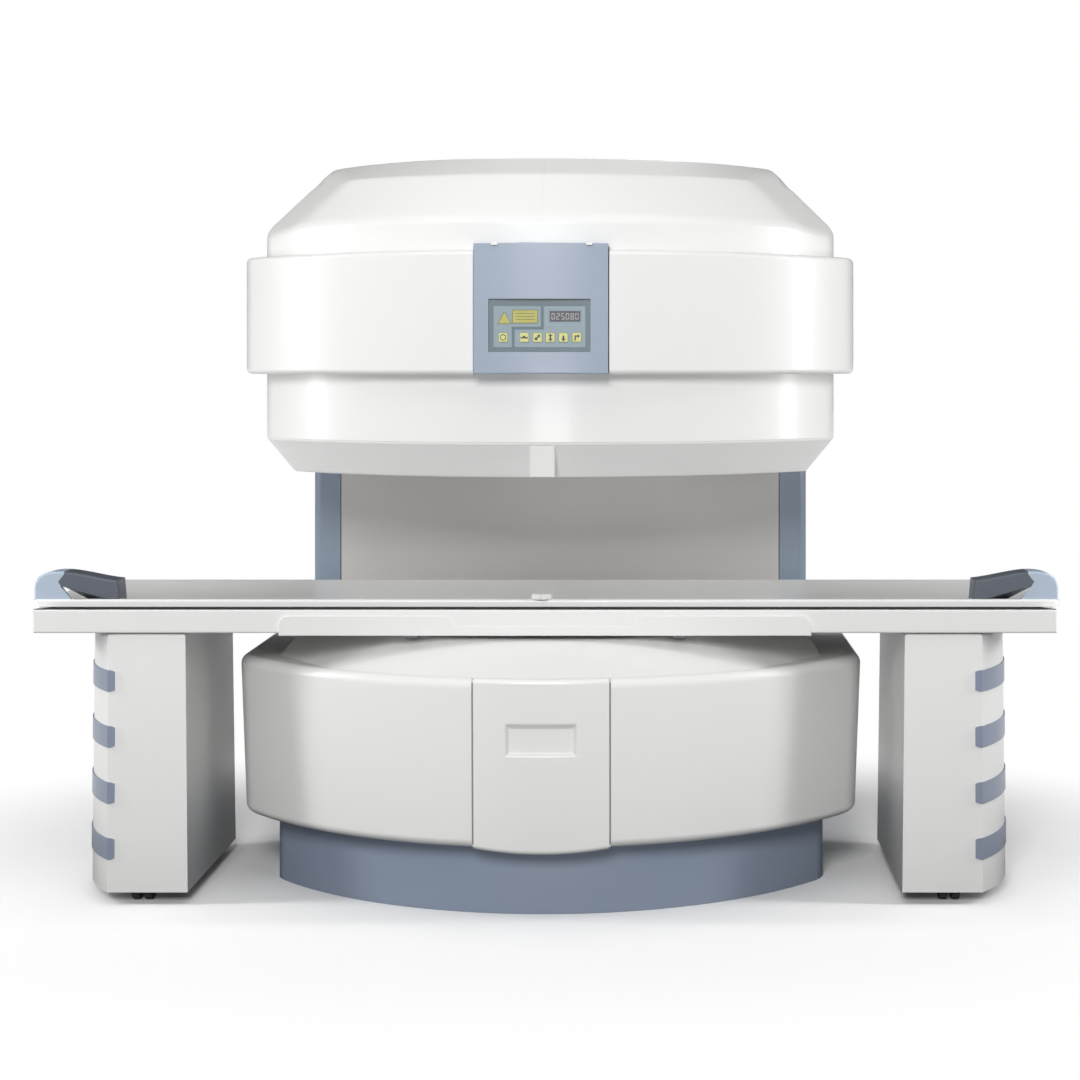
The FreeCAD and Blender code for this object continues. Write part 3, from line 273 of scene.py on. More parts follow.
def finish(slot):
    return bpy.data.materials["scanner_" + slot]


# name: colour setting and factor, or a colour; roughness low and high, coat, grain, its share, dust, tint
MOULDED = {
    "cover_white": ("cover_white", 1.0, 0.32, 0.38, 0.20, 700.0, 0.15, 0.05, 0.02),
    # column front: the covers' white darkened, painted shade of the gap under the upper half
    "column_white": ("column_white", 1.0, 0.38, 0.46, 0.10, 1100.0, 0.3, 0.0, 0.03),
    # pan: the covers' white made lighter, painted light on the pan's shaded underside
    "pan_white": ("pan_white", 1.0, 0.34, 0.42, 0.15, 700.0, 0.15, 0.0, 0.03),
    "frame_white": ("cover_white", 0.97, 0.32, 0.42, 0.15, 1100.0, 0.3),
    "tabletop_white": ("cover_white", 0.99, 0.30, 0.40, 0.20, 900.0),
    # laser window: the covers' white darkened to the skirt's tone, painted shade
    "laser_white": ("cover_white", 0.79, 0.30, 0.36, 0.10, 700.0),
    "panel_blue": ("panel_blue", 1.0, 0.30, 0.42, 0.25, 1300.0, 0.35),
    # column sides: blue paint darkened with painted shade of their recess under the upper half
    "trim_blue": ("trim_blue", 1.0, 0.34, 0.46, 0.12, 1200.0, 0.35, 0.15),
    "plinth_blue": ("plinth_blue", 1.0, 0.36, 0.50, 0.12, 1200.0, 0.35, 0.15, 0.05),
    "handle_blue": ("handle_blue", 1.0, 0.32, 0.44, 0.15, 1400.0, 0.4),
    "handle_slate": ("handle_slate", 1.0, 0.38, 0.50, 0.10, 1400.0, 0.4),
    "stripe_blue": ("stripe_blue", 1.0, 0.34, 0.44, 0.15, 1300.0, 0.35),
    "key_yellow": ("key_yellow", 1.0, 0.35, 0.45, 0.10, 2200.0, 0.4),
    "keypad_line": ("keypad_border", 1.05, 0.36, 0.44, 0.15, 2600.0),
    "keypad_rim": ("keypad_field", 1.35, 0.36, 0.44, 0.15, 2600.0),
    "lens_edge": ("lamp_yellow", 0.30, 0.36, 0.44, 0.15, 2600.0),
    "coil_resin": ((0.62, 0.42, 0.22), 1.0, 0.30, 0.50, 0.20, 500.0, 0.3),
    "symbol_ink": ((0.05, 0.06, 0.05), 1.0, 0.45, 0.55, 0.0, 2200.0),
    "digit_light": ((0.40, 0.39, 0.41), 1.0, 0.40, 0.50, 0.0, 2200.0),
}
EVEN_STRETCH = (90.0, 90.0, 90.0)


def make_finishes():
    """All finishes, each under the name of the material slot it belongs to."""
    paint = bpy.context.scene.scanner_colours
    for name, (colour, factor, *rest) in MOULDED.items():
        if isinstance(colour, str):
            colour = getattr(paint, colour)
        moulded_finish(name, shade(colour, factor), *rest)
    steel_finish("yoke_steel", (0.18, 0.19, 0.20), 0.48, metallic=0.6)
    steel_finish("magnet_steel", (0.42, 0.42, 0.43), 0.35)
    steel_finish("bolt_steel", (0.56, 0.56, 0.57), 0.30, EVEN_STRETCH)
    steel_finish("leg_steel", (0.50, 0.51, 0.52), 0.38)
    steel_finish("screw_dark", (0.10, 0.10, 0.11), 0.45, EVEN_STRETCH, metallic=0.7)
    # near-black and hardly glossy: partly dark rubber, partly painted shade of the ledge under the tabletop's
    # lip
    rubber_finish("ledge_black", (0.008, 0.008, 0.009), dust=0.0, specular=0.15)
    rubber_finish("caster_black", (0.022, 0.022, 0.024), roughness=0.5)
    rubber_finish("wheel_rubber", (0.045, 0.045, 0.048))
    # seam strips: a dark and a mid-grey colour that paint the shade of deep seams
    rubber_finish("seam_rubber", (0.040, 0.040, 0.043), dust=0.05)
    rubber_finish("seam_grey", (0.250, 0.248, 0.245), dust=0.05)
    overlay_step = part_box("keypad_plate")[0].y + 0.0008
    film_finish("keypad_teal", tuple(paint.keypad_border), tuple(paint.keypad_field), overlay_step)
    lens_finish("display_grey", (0.120, 0.120, 0.135), 0.0)
    lens_finish("lamp_yellow", tuple(paint.lamp_yellow), 0.05)


# ---- mesh helpers ----
def object_from(name, mesh):
    piece = bpy.data.objects.new(name, mesh)
    bpy.context.scene.collection.objects.link(piece)
    return piece


def mesh_object(name, points, faces, edges=()):
    mesh = bpy.data.meshes.new(name)
    mesh.from_pydata(points, edges, faces)
    mesh.update()
    return object_from(name, mesh)


@contextmanager
def editing(mesh):
    """A mesh opened for edits, which are written back at the end."""
    body = bmesh.new()
    body.from_mesh(mesh)
    yield body
    body.to_mesh(mesh)
    body.free()


def join_flat(body):
    """Join the faces that lie in one plane."""
    bmesh.ops.dissolve_limit(body, angle_limit=math.radians(0.6), verts=body.verts, edges=body.edges)


def smooth(piece, bevel=0.0, angle=35.0, segments=2):
    """Smooth shading that keeps flat faces flat, with a small round on the sharp edges."""
    piece.data.polygons.foreach_set("use_smooth", [True] * len(piece.data.polygons))
    if bevel > 0.0:
        rounding = piece.modifiers.new("Rounded edges", "BEVEL")
        rounding.width = bevel
        rounding.segments = segments
        rounding.limit_method = "ANGLE"
        rounding.angle_limit = math.radians(angle)
    else:
        piece.data.set_sharp_from_angle(angle=math.radians(angle))
    weighted = piece.modifiers.new("Flat faces", "WEIGHTED_NORMAL")
    weighted.weight = 60
    weighted.keep_sharp = True
    return piece


def hand_in(piece, slot="cover_white", node=None, body="root", ink=None):
    """Give a finished piece the finish of its ink, else of its slot, and its body, and hide the CAD node it
    stands for.
    """
    piece.data.materials.clear()
    piece.data.materials.append(finish(ink or slot))
    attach(piece, body_name(node) if node else body)
    if node:
        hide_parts(node)


def cad_copy(node, ending="_soft"):
    """Object with a copy of a CAD node's mesh, its doubles merged and its flat faces joined."""
    mesh = NODES[node].data.copy()
    mesh.name = node + ending
    with editing(mesh) as body:
        bmesh.ops.remove_doubles(body, verts=body.verts, dist=2e-6)
        join_flat(body)
    mesh.materials.clear()
    normals = mesh.attributes.get("custom_normal")
    if normals:
        mesh.attributes.remove(normals)
    return object_from(node + ending, mesh)


def softened(node, slot, bevel, ink=None):
    """A CAD node's own shape with rounded edges."""
    hand_in(smooth(cad_copy(node), bevel), slot, node, ink=ink)


def solid(name, points, faces, merge=0.0):
    """Closed mesh with its doubles merged and its faces turned outwards."""
    piece = mesh_object(name, points, faces)
    with editing(piece.data) as body:
        if merge > 0.0:
            bmesh.ops.remove_doubles(body, verts=body.verts, dist=merge)
        bmesh.ops.recalc_face_normals(body, faces=body.faces)
    return piece


def rings_mesh(name, rings, closed_ring, closed_section):
    """Skin over rings of equal length; open ends are closed with one face each."""
    count = len(rings[0])
    steps = len(rings) if closed_section else len(rings) - 1
    faces = []
    for i in range(steps):
        low = i * count
        high = (i + 1) % len(rings) * count
        for j in range(count if closed_ring else count - 1):
            k = (j + 1) % count
            faces.append((low + j, low + k, high + k, high + j))
    if not closed_ring:
        faces.append([i * count for i in range(len(rings))])
        faces.append([i * count + count - 1 for i in reversed(range(len(rings)))])
    if not closed_section:
        faces.append(list(reversed(range(count))))
        faces.append([steps * count + j for j in range(count)])
    return solid(name, [point for ring in rings for point in ring], faces, 1e-6)


def spread(first, last, count):
    return [first + (last - first) * i / (count - 1) for i in range(count)]


def on_arc(radius, x):
    """Depth of a front curve at a place across."""
    return ARC_Y - math.sqrt(radius * radius - x * x)


def on_curve(radius, turn):
    """Place on a front curve, by its angle from the middle."""
    return radius * math.sin(turn), ARC_Y - radius * math.cos(turn)


def half_plan(plan, inset=0.0, start=0.0, rear=REAR_Y, rear_round=0.012, rear_end=0.0):
    """Right half of a cover's plan: front curve from a seam at start, corner, side, back to rear_end."""
    width, radius, corner = (size - inset for size in plan)
    corner = max(corner, 0.002)
    turn_back = max(rear_round - inset, 0.002)
    back = rear - inset
    fx = width - corner
    fy = on_arc(radius - corner, fx)
    meet = math.atan2(fx, ARC_Y - fy)
    points = [on_curve(radius, turn) for turn in spread(math.asin(start / radius), meet, 44)]
    for turn in spread(meet, math.pi / 2, 18)[1:]:
        points.append((fx + corner * math.sin(turn), fy - corner * math.cos(turn)))
    for turn in spread(0.0, math.pi / 2, 6):
        points.append((width - turn_back + turn_back * math.cos(turn),
                       back - turn_back + turn_back * math.sin(turn)))
    points.append((rear_end, back))
    return points


def whole_plan(plan, inset, rear):
    right = half_plan(plan, inset, rear=rear)
    return right + [(-x, y) for x, y in reversed(right[1:-1])]


def level(plan_points, height):
    return [(x, y, height) for x, y in plan_points]


def rounded(points, radius, steps):
    """Section line with its inner corners rounded."""
    line = [points[0]]
    for before, here, after in zip(points, points[1:], points[2:]):
        a = Vector(before) - Vector(here)
        b = Vector(after) - Vector(here)
        half = a.angle(b) / 2
        reach = min(radius / math.tan(half), a.length * 0.49, b.length * 0.49)
        size = reach * math.tan(half)
        a.normalize()
        b.normalize()
        centre = Vector(here) + (a + b).normalized() * (size / math.sin(half))
        first = Vector(here) + a * reach - centre
        last = Vector(here) + b * reach - centre
        begin = math.atan2(first.y, first.x)
        turn = (math.atan2(last.y, last.x) - begin + math.pi) % (2 * math.pi) - math.pi
        for i in range(steps + 1):
            angle = begin + turn * i / steps
            line.append((centre.x + size * math.cos(angle), centre.y + size * math.sin(angle)))
    return line + [points[-1]]


def shell_section(outer, wall):
    """Closed section of a moulded wall: the outer line, then the same line moved inwards."""
    inner = []
    for i, here in enumerate(outer):
        before = Vector(outer[max(i - 1, 0)])
        after = Vector(outer[min(i + 1, len(outer) - 1)])
        ahead = (after - before).normalized()
        inner.append(tuple(Vector(here) + Vector((ahead.y, -ahead.x)) * wall))
    return list(outer) + list(reversed(inner))


def drop(piece):
    mesh = piece.data
    bpy.data.objects.remove(piece)
    bpy.data.meshes.remove(mesh)


# ---- Geometry Nodes ----
def make_trees():
    """Trees of the strips and of the repeated parts."""
    coated = {"real": ("GeometryNodeRealizeInstances", {}), "coat": ("GeometryNodeSetMaterial", {})}
    coating = "; real.Geometry > coat.Geometry; in.Material > coat.Material; coat.Geometry > out.Parts"
    # rounded strip that follows a path: a profile by height, depth and edge round
    new_group(
        "Moulded Strip", "GeometryNodeTree",
        {"Path": "Geometry", "Height": "Float", "Depth": "Float", "Edge Round": "Float",
         "Material": "Material"},
        ("Parts", "Geometry"),
        {"path": ("GeometryNodeMeshToCurve", {}),
         "upright": ("GeometryNodeSetCurveNormal", {"mode": "Z_UP"}),
         "profile": ("GeometryNodeCurvePrimitiveQuadrilateral", {}),
         "soft": ("GeometryNodeFilletCurve", {"mode": "POLY", "Count": 5}),
         "body": ("GeometryNodeCurveToMesh", {"Fill Caps": True}), **coated},
        "in.Path > path.Mesh; path.Curve > upright.Curve; in.Height > profile.Height;"
        "in.Depth > profile.Width; profile.Curve > soft.Curve; in.Edge Round > soft.Radius;"
        "upright.Curve > body.Curve; soft.Curve > body.Profile Curve; body.Mesh > real.Geometry" + coating)
    # one part set on every point, turned to the point's own facing
    new_group(
        "Repeated Part", "GeometryNodeTree",
        {"Points": "Geometry", "Part": "Object", "Size": "Float", "Material": "Material"},
        ("Parts", "Geometry"),
        {"part": ("GeometryNodeObjectInfo", {}),
         "facing": ("GeometryNodeInputNamedAttribute", {"data_type": "FLOAT_VECTOR", "Name": "facing"}),
         "turn": ("FunctionNodeAlignRotationToVector", {"axis": "Z"}),
         "spot": ("GeometryNodeInstanceOnPoints", {}), **coated},
        "in.Part > part.Object; facing.Attribute > turn.Vector; in.Points > spot.Points;"
        "part.Geometry > spot.Instance; turn.Rotation > spot.Rotation; in.Size > spot.Scale;"
        "spot.Instances > real.Geometry" + coating)


def bake(piece, modifier):
    """Keep what a modifier makes of a piece as its plain mesh."""
    view = bpy.context.evaluated_depsgraph_get()
    mesh = bpy.data.meshes.new_from_object(piece.evaluated_get(view))
    piece.modifiers.remove(modifier)
    piece.data = mesh


def run_tree(piece, name, values):
    """Run a tree on a piece with its inputs by name, and keep the result."""
    modifier = piece.modifiers.new("Nodes", "NODES")
    modifier.node_group = bpy.data.node_groups[name]
    for item in modifier.node_group.interface.items_tree:
        if item.in_out == "INPUT" and item.name in values:
            modifier[item.identifier] = values[item.name]
    bake(piece, modifier)
    return smooth(piece)


def strip(name, points, height, depth, edge_round, slot, closed=False):
    """Rounded strip along a path of points, which is the middle of its section."""
    links = [(i, i + 1) for i in range(len(points) - 1)]
    if closed:
        links.append((len(points) - 1, 0))
    sizes = {"Height": height, "Depth": depth, "Edge Round": edge_round, "Material": finish(slot)}
    return run_tree(mesh_object(name, points, [], links), "Moulded Strip", sizes)


def repeated(name, part, spots, size, slot):
    """One mesh of a small part at every spot: each spot is a place and the way it faces."""
    piece = mesh_object(name, [place for place, facing in spots], [])
    facings = piece.data.attributes.new("facing", "FLOAT_VECTOR", "POINT")
    facings.data.foreach_set("vector", [value for place, facing in spots for value in facing])
    return run_tree(piece, "Repeated Part", {"Part": part, "Size": size, "Material": finish(slot)})


# ---- covers ----
def make_base_plinth():
    """Skirt of the plinth and the floor plate inside it."""
    rear = REAR_Y - 0.040
    height, wall, plate = 0.193, 0.006, 0.026
    path = level(whole_plan(PLINTH, wall / 2, rear), height / 2)
    hand_in(strip("base_plinth_skirt", path, height, wall, 0.0012, "plinth_blue", closed=True),
            "plinth_blue", "base_plinth")
    floor = mesh_object("base_plinth_floor", level(whole_plan(PLINTH, 0.005, rear), 0.004), [])
    with editing(floor.data) as body:
        face = body.faces.new(body.verts)
        lifted = bmesh.ops.extrude_face_region(body, geom=[face])
        for vert in lifted["geom"]:
            if isinstance(vert, bmesh.types.BMVert):
                vert.co.z += plate
        bmesh.ops.recalc_face_normals(body, faces=body.faces)
    hand_in(smooth(floor), "plinth_blue")


def hand_in_both(stem, rings, bevel=0.0):
    """Hand in the right one of a pair of covers, and its mirror image on the left."""
    right = rings_mesh(stem + "_right_moulding", rings, False, True)
    mesh = right.data.copy()
    with editing(mesh) as body:
        for vert in body.verts:
            vert.co.x = -vert.co.x
        bmesh.ops.reverse_faces(body, faces=body.faces)
    left = object_from(stem + "_left_moulding", mesh)
    for piece, side in ((right, "_right"), (left, "_left")):
        hand_in(smooth(piece, bevel, 40.0), node=stem + side)


def lower_flare(height):
    """How far the drafted lower covers stand inside their plan's outline at a height."""
    return LOWER_DRAFT * (LOWER_RIM - height) / (LOWER_RIM - LOWER_BOTTOM)


def make_lower_covers():
    """Left and right mouldings of the lower housing, from their floor ring to the deck."""
    foot = LOWER_BOTTOM - 0.0035
    wall, seam = 0.005, 0.1754
    line = [(0.103, foot), (lower_flare(foot), foot), (0.0, LOWER_RIM), (0.130, LOWER_RIM)]
    line = line[:1] + rounded(line[:3], 0.024, 9)[1:-1] + rounded(line[1:], 0.026, 9)[1:-1] + line[-1:]
    hand_in_both("lower_cover", [level(half_plan(LOWER, inset, seam, rear_end=0.0006), height)
                                 for inset, height in shell_section(line, wall)], 0.0014)


def ease(value, low, high):
    """0 below low, 1 above high, and smooth between."""
    share = min(max((value - low) / (high - low), 0.0), 1.0)
    return share * share * (3.0 - 2.0 * share)


def grip_depth(x, z):
    """Depth of the moulded finger grip in the hatch's face, with mitred slopes on all four sides."""
    low, high, half, deepest = 0.420, 0.503, 0.0905, 0.0095
    inside = min((high - z) / 0.014, (z - low) / 0.007, (half - abs(x)) / 0.0095)
    return deepest * ease(inside, -0.12, 1.12)


def make_front_hatch():
    """Lift-off hatch between the lower covers, with a bowed lower lip and a moulded finger grip."""
    foot = LOWER_BOTTOM - 0.006
    wall, lip_bow = 0.0045, 0.012
    line = [(0.040, foot), (lower_flare(foot), foot), (0.0, LOWER_RIM), (0.0265, LOWER_RIM)]
    heights = spread(0.23, 0.405, 8) + spread(0.4175, 0.4295, 13) + spread(0.435, 0.482, 8)
    heights += spread(0.4865, 0.5055, 20) + spread(0.515, 0.58, 4)
    outer = line[:1] + rounded(line[:3], 0.024, 9)[1:-1] + [(lower_flare(z), z) for z in heights]
    outer += rounded(line[1:], 0.022, 9)[1:-1] + line[-1:]
    places = spread(0.0, 0.076, 9) + spread(0.0790, 0.0930, 15) + spread(0.105, HATCH_EDGE, 8)
    places = [-x for x in reversed(places[1:])] + places
    rings = []
    for inset, height in shell_section(outer, wall):
        ring = []
        for x in places:
            bow = lip_bow * (1.0 - (x / HATCH_EDGE) ** 2) * (1.0 - ease(height, foot, 0.250))
            ring.append((x, on_arc(LOWER[1] - inset - grip_depth(x, height), x), height - bow))
        rings.append(ring)
    hand_in(smooth(rings_mesh("front_hatch_moulding", rings, False, True), 0.0014, 50.0), node="front_hatch")


def soft_min(first, second, soft):
    """The lower of two values, rounded where they cross."""
    share = min(max(0.5 + 0.5 * (second - first) / soft, 0.0), 1.0)
    return second + (first - second) * share - soft * share * (1.0 - share)


def along(line, value):
    """Height on a broken line of (place, height); past its last place the height stays."""
    for (x0, h0), (x1, h1) in zip(line, line[1:]):
        if value <= x1:
            return h0 + (h1 - h0) * (value - x0) / (x1 - x0)
    return h1


def both_ways(right):
    """Places across the whole width, from those of the right half."""
    right = sorted(set(right))
    return [-x for x in reversed(right[1:])] + right


def field_mesh(name, across, rows, front_of, back, height_of, skirt):
    """Closed solid under a height field that starts on a front line and ends on a straight back."""
    points = []
    for share in rows:
        for x in across:
            y = front_of(x) + (back - front_of(x)) * share
            points.append((x, y, height_of(x, y)))
    count = len(across)
    last = len(points) - count
    faces = []
    for row in range(0, last, count):
        for j in range(row, row + count - 1):
            faces.append((j, j + 1, j + count + 1, j + count))
    rim = list(range(count)) + list(range(2 * count - 1, len(points), count))
    rim += list(reversed(range(last, last + count - 1))) + list(reversed(range(count, last, count)))
    base = len(points)
    points += [(points[i][0], points[i][1], skirt) for i in rim]
    for i, here in enumerate(rim):
        k = (i + 1) % len(rim)
        faces.append((rim[k], here, base + i, base + k))
    faces.append(list(reversed(range(base, base + len(rim)))))
    return solid(name, points, faces, 1e-7)


def make_lower_pole_cover():
    """Faceted dome over the lower pole, with softened creases."""
    radius, half, rise = 1.014, 0.737, 0.075
    front_run, side_run, corner_run = 0.160, 0.049, 0.195
    nx, ny = 0.819, -0.573                              # outward direction of the corner facets
    px, py = on_curve(radius, math.radians(34.4))       # where they start on the front curve

    def front_of(x):
        return max(on_arc(radius, x), py + (abs(x) - px) * nx / -ny)

    def height_of(x, y):
        reach = radius - math.hypot(x, y - ARC_Y) if y < ARC_Y else rise * 4
        front = reach * rise / front_run
        side = (half - abs(x)) * rise / side_run
        corner = -((abs(x) - px) * nx + (y - py) * ny) * rise / corner_run
        height = soft_min(soft_min(front, corner, 0.006), side, 0.008)
        return LOWER_RIM + max(soft_min(height, rise, 0.006), 0.0)

    bend = [px - 0.012 + 0.002 * i for i in range(13)]
    across = both_ways(spread(0.0, px - 0.014, 44) + bend + spread(px + 0.014, half, 32))
    rows = [0.0] + [(i / 90) ** 1.25 for i in range(1, 91)]
    piece = field_mesh("lower_pole_cover_moulding", across, rows, front_of, AXIS_Y + 0.507, height_of,
                       LOWER_RIM - 0.004)
    hand_in(smooth(piece, angle=60.0), node="lower_pole_cover")


def make_upper_pole_cover():
    """Drafted pan under the upper half with its flat underside."""
    bottom = 1.115
    line = rounded([(0.165, bottom), (0.075, bottom), (0.0015, 1.2044), (0.0015, 1.212)], 0.012, 5)
    rings = [level(whole_plan(UPPER, inset, REAR_Y + inset), height) for inset, height in line]
    piece = rings_mesh("upper_pole_cover_moulding", rings, True, False)
    # the pan's lighter white is painted light on its shaded underside
    hand_in(smooth(piece, angle=60.0), node="upper_pole_cover", ink="pan_white")


def make_upper_skirt():
    """Upright skirt of the upper half; its back lies just inside the band's."""
    bottom, top, lip, wall = 1.2062, 1.6925, 0.020, 0.004
    line = rounded([(lip, bottom), (0.0, bottom), (0.0, top), (lip, top)], 0.0035, 3)
    rings = [level(whole_plan(UPPER, inset, REAR_Y - 0.0015), height)
             for inset, height in shell_section(line, wall)]
    piece = rings_mesh("upper_skirt_moulding", rings, True, True)
    hand_in(smooth(piece, angle=50.0), node="upper_skirt_cover")


def make_top_cover():
    """Faceted crown with softened creases; its upright rim goes down behind the band."""
    width, radius, corner = UPPER
    crest, edge, seam = 0.187, 0.016, 0.0013            # height, rounded edge, half the middle seam
    soft = 0.010                                        # how wide a crease is rounded
    front_line = [(0.0, 0.0), (0.120, 0.127), (0.232, 0.180), (0.420, 0.185), (2.0, crest)]
    side_line = [(0.0, 0.0), (0.120, 0.127), (0.166, 0.180), (0.420, 0.185), (2.0, crest)]
    nx, ny, nz = 0.571, -0.387, 0.724                   # outward direction of the corner facets
    px, py = on_curve(radius, math.radians(46.3))       # where they start on the front curve
    fx = width - corner
    fy = on_arc(radius - corner, fx)
    meet = fx * radius / (radius - corner)

    def front_of(x):
        if abs(x) <= meet:
            return on_arc(radius, x)
        return fy - math.sqrt(max(corner * corner - (abs(x) - fx) ** 2, 0.0))

    def edge_distance(x, y):
        """How far a place is inside the outline."""
        if y >= fy:
            return width - abs(x)
        if abs(x) * (ARC_Y - fy) > fx * (ARC_Y - y):
            return corner - math.hypot(abs(x) - fx, y - fy)
        return radius - math.hypot(x, y - ARC_Y)

    def height_of(x, y):
        front = along(front_line, radius - math.hypot(x, y - ARC_Y)) if y < ARC_Y else crest
        side = along(side_line, width - abs(x))
        slope = -(0.009 + (abs(x) - px) * nx + (y - py) * ny) / nz
        height = soft_min(soft_min(front, side, soft), slope, soft)
        turned = edge_distance(x, y)
        if turned < edge:
            share = 1.0 - max(turned, 0.0) / edge
            height -= edge * 0.75 * (1.0 - math.sqrt(max(1.0 - share * share, 0.0)))
        if abs(x) < seam:
            height -= 0.002
        return UPPER_RIM + height

    bend = [fx + (width - fx) * math.sin(math.pi / 2 * i / 24) for i in range(25)]
    across = both_ways([0.0, 0.0012, 0.0014, 0.0030] + spread(0.010, fx - 0.03, 62) + bend)
    rows = [0.0, 0.0004, 0.0012, 0.0024, 0.0040, 0.0062, 0.009, 0.012]
    rows += spread(0.0165, 0.30, 64) + spread(0.309, 1.0, 46)
    piece = field_mesh("top_cover_moulding", across, rows, front_of, REAR_Y, height_of, 1.6935)
    hand_in(smooth(piece, angle=65.0), node="top_cover")


def make_upper_bands():
    """Left and right halves of the raised band, open between them for the control housing."""
    bottom, top, depth = 1.381, 1.695, 0.060
    section = rounded([(depth, bottom), (0.0, bottom), (0.0, top), (depth, top)], 0.014, 6)
    hand_in_both("upper_band",
                 [level(half_plan(BAND, inset, HATCH_EDGE, rear_round=0.036, rear_end=0.60), height)
                  for inset, height in section])


def make_seams():
    """Rubber strips in the seams round the hatch and beside the control housing, just below their surface;
    their dark and grey colours are painted shade of the deep seams.
    """
    hatch_x, panel_x = 0.1735, 0.1703
    for side, name in SIDES:
        x = side * hatch_x
        hatch = [(x, on_arc(LOWER[1] - 0.0050 - lower_flare(height), x), height)
                 for height in spread(LOWER_BOTTOM + 0.006, LOWER_RIM - 0.010, 12)]
        x = side * panel_x
        panel = [(x, on_arc(BAND[1] - 0.009, x), height) for height in spread(1.387, 1.703, 12)]
        for stem, points, height, depth, ink in (("hatch_seam_", hatch, 0.0040, 0.0036, "seam_grey"),
                                                 ("panel_seam_", panel, 0.0030, 0.0024, "seam_rubber")):
            piece = strip(stem + name, points, height, depth, 0.0005, ink)
            hand_in(piece, "ledge_black", ink=ink)


# ---- carried-over nodes and parts with the CAD's own shapes ----
CARRIED = {
    "yoke_steel": ("yoke_lower_plate", "yoke_upper_plate", "yoke_column"),
    "bolt_steel": ("yoke_bolts",),
    "magnet_steel": ("magnet_lower", "magnet_upper", "pole_shoe_lower", "pole_shoe_upper"),
    "coil_resin": ("gradient_coil_lower", "gradient_coil_upper", "rf_coil_lower", "rf_coil_upper"),
    "frame_white": ("hatch_frame",),
    "leg_steel": ("leg_frame_left", "leg_frame_right"),
}


def dress_inner_parts():
    for slot, nodes in CARRIED.items():
        for node in nodes:
            NODES[node].data.materials.clear()
            NODES[node].data.materials.append(finish(slot))


def make_control_housing():
    """Moulded shell of the controls, with wider rounds on its two upright front edges and its foot."""
    piece = cad_copy("control_housing")
    low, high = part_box("control_housing")
    with editing(piece.data) as body:
        weight = body.edges.layers.float.new("bevel_weight_edge")
        for edge in body.edges:
            if edge.calc_face_angle(0.0) < math.radians(35):
                continue
            ends = [vert.co for vert in edge.verts]
            front = max(end.y for end in ends) < low.y + 0.012
            side = min(abs(end.x) for end in ends) > high.x - 0.001
            foot = max(end.z for end in ends) < low.z + 0.001
            edge[weight] = 1.0 if front and (side or foot) else 0.2
    smooth(piece, 0.0050, segments=4)
    rounding = piece.modifiers["Rounded edges"]
    rounding.limit_method = "WEIGHT"
    rounding.use_clamp_overlap = False
    hand_in(piece, "panel_blue", "control_housing")


def cut_solid(piece, place, normal):
    """Keep the part of a closed mesh behind a plane, and close the cut."""
    with editing(piece.data) as body:
        everything = body.verts[:] + body.edges[:] + body.faces[:]
        cut = bmesh.ops.bisect_plane(body, geom=everything, plane_co=place, plane_no=normal, clear_outer=True)
        rim = [item for item in cut["geom_cut"] if isinstance(item, bmesh.types.BMEdge)]
        bmesh.ops.triangle_fill(body, use_beauty=True, edges=rim, normal=normal)
        join_flat(body)
        bmesh.ops.recalc_face_normals(body, faces=body.faces)


def carved(node, ending, cutter, operation):
    """A CAD node's shape with a cutter taken away, or only what lies inside the cutter."""
    piece = cad_copy(node, ending)
    cut = piece.modifiers.new("Cut", "BOOLEAN")
    cut.operation = operation
    cut.solver = "EXACT"
    cut.object = cutter
    bake(piece, cut)
    with editing(piece.data) as body:
        bmesh.ops.remove_doubles(body, verts=body.verts, dist=5e-6)
        join_flat(body)
    return piece


# outline (x, z) of the strap's share of a right-hand grip; its slanted lines are the hook
GRIP_JOINT = [(1.268, 0.900), (1.268, 0.8545), (1.2835, 0.835), (1.2765, 0.8235), (1.2415, 0.780),
              (1.100, 0.780), (1.100, 0.900)]
TABLE_END_X = 1.3318
PEDESTAL_PLAN = [(1.100, 1.100), (1.121, 1.139), (1.242, 1.242), (1.260, 1.260)]     # x in CAD, x here
STRIPE_END_X = 1.1205


def make_end_grips():
    """Two-shot grips: a light fin at the end of the table, hooked round a dark strap."""
    for side, node in ((-1, "handle_left"), (1, "handle_right")):
        cutter = plates("grip_cutter", [[(side * x, z) for x, z in GRIP_JOINT]], -0.60, 0.30)
        fin = carved(node, "_fin", cutter, "DIFFERENCE")
        strap = carved(node, "_strap", cutter, "INTERSECT")
        drop(cutter)
        hand_in(smooth(fin, 0.0010, 40.0), "handle_blue", node)
        hand_in(smooth(strap, 0.0010, 40.0), "handle_blue", node, ink="handle_slate")


def make_ledge_strips():
    """Black strips on the table frame's ledges, run out to the frame's ends; their near-black is partly dark
    rubber and partly painted shade under the tabletop's lip.
    """
    piece = cad_copy("ledge_strips")
    for vert in piece.data.vertices:
        if abs(vert.co.x) > 1.31:
            vert.co.x = math.copysign(TABLE_END_X, vert.co.x)
    hand_in(smooth(piece, 0.0003), "ledge_black", "ledge_strips")


def flatter_bow(node):
    """Copy of a pedestal's part, its flat faces run further out and its bowed side flattened."""
    piece = cad_copy(node)
    for vert in piece.data.vertices:
        if abs(vert.co.x) > PEDESTAL_PLAN[0][0]:
            vert.co.x = math.copysign(along(PEDESTAL_PLAN, abs(vert.co.x)), vert.co.x)
    return piece


def make_pedestal(side, out):
    """Cover of a pedestal, and four trim strips that wrap its bowed side to just round its corners."""
    node = "pedestal_" + side
    hand_in(smooth(flatter_bow(node), 0.0030, segments=3), node=node)
    node = "pedestal_stripes_" + side
    piece = flatter_bow(node)
    cut_solid(piece, (out * STRIPE_END_X, 0, 0), (-out, 0, 0))
    hand_in(smooth(piece, 0.0010), "panel_blue", node, ink="stripe_blue")


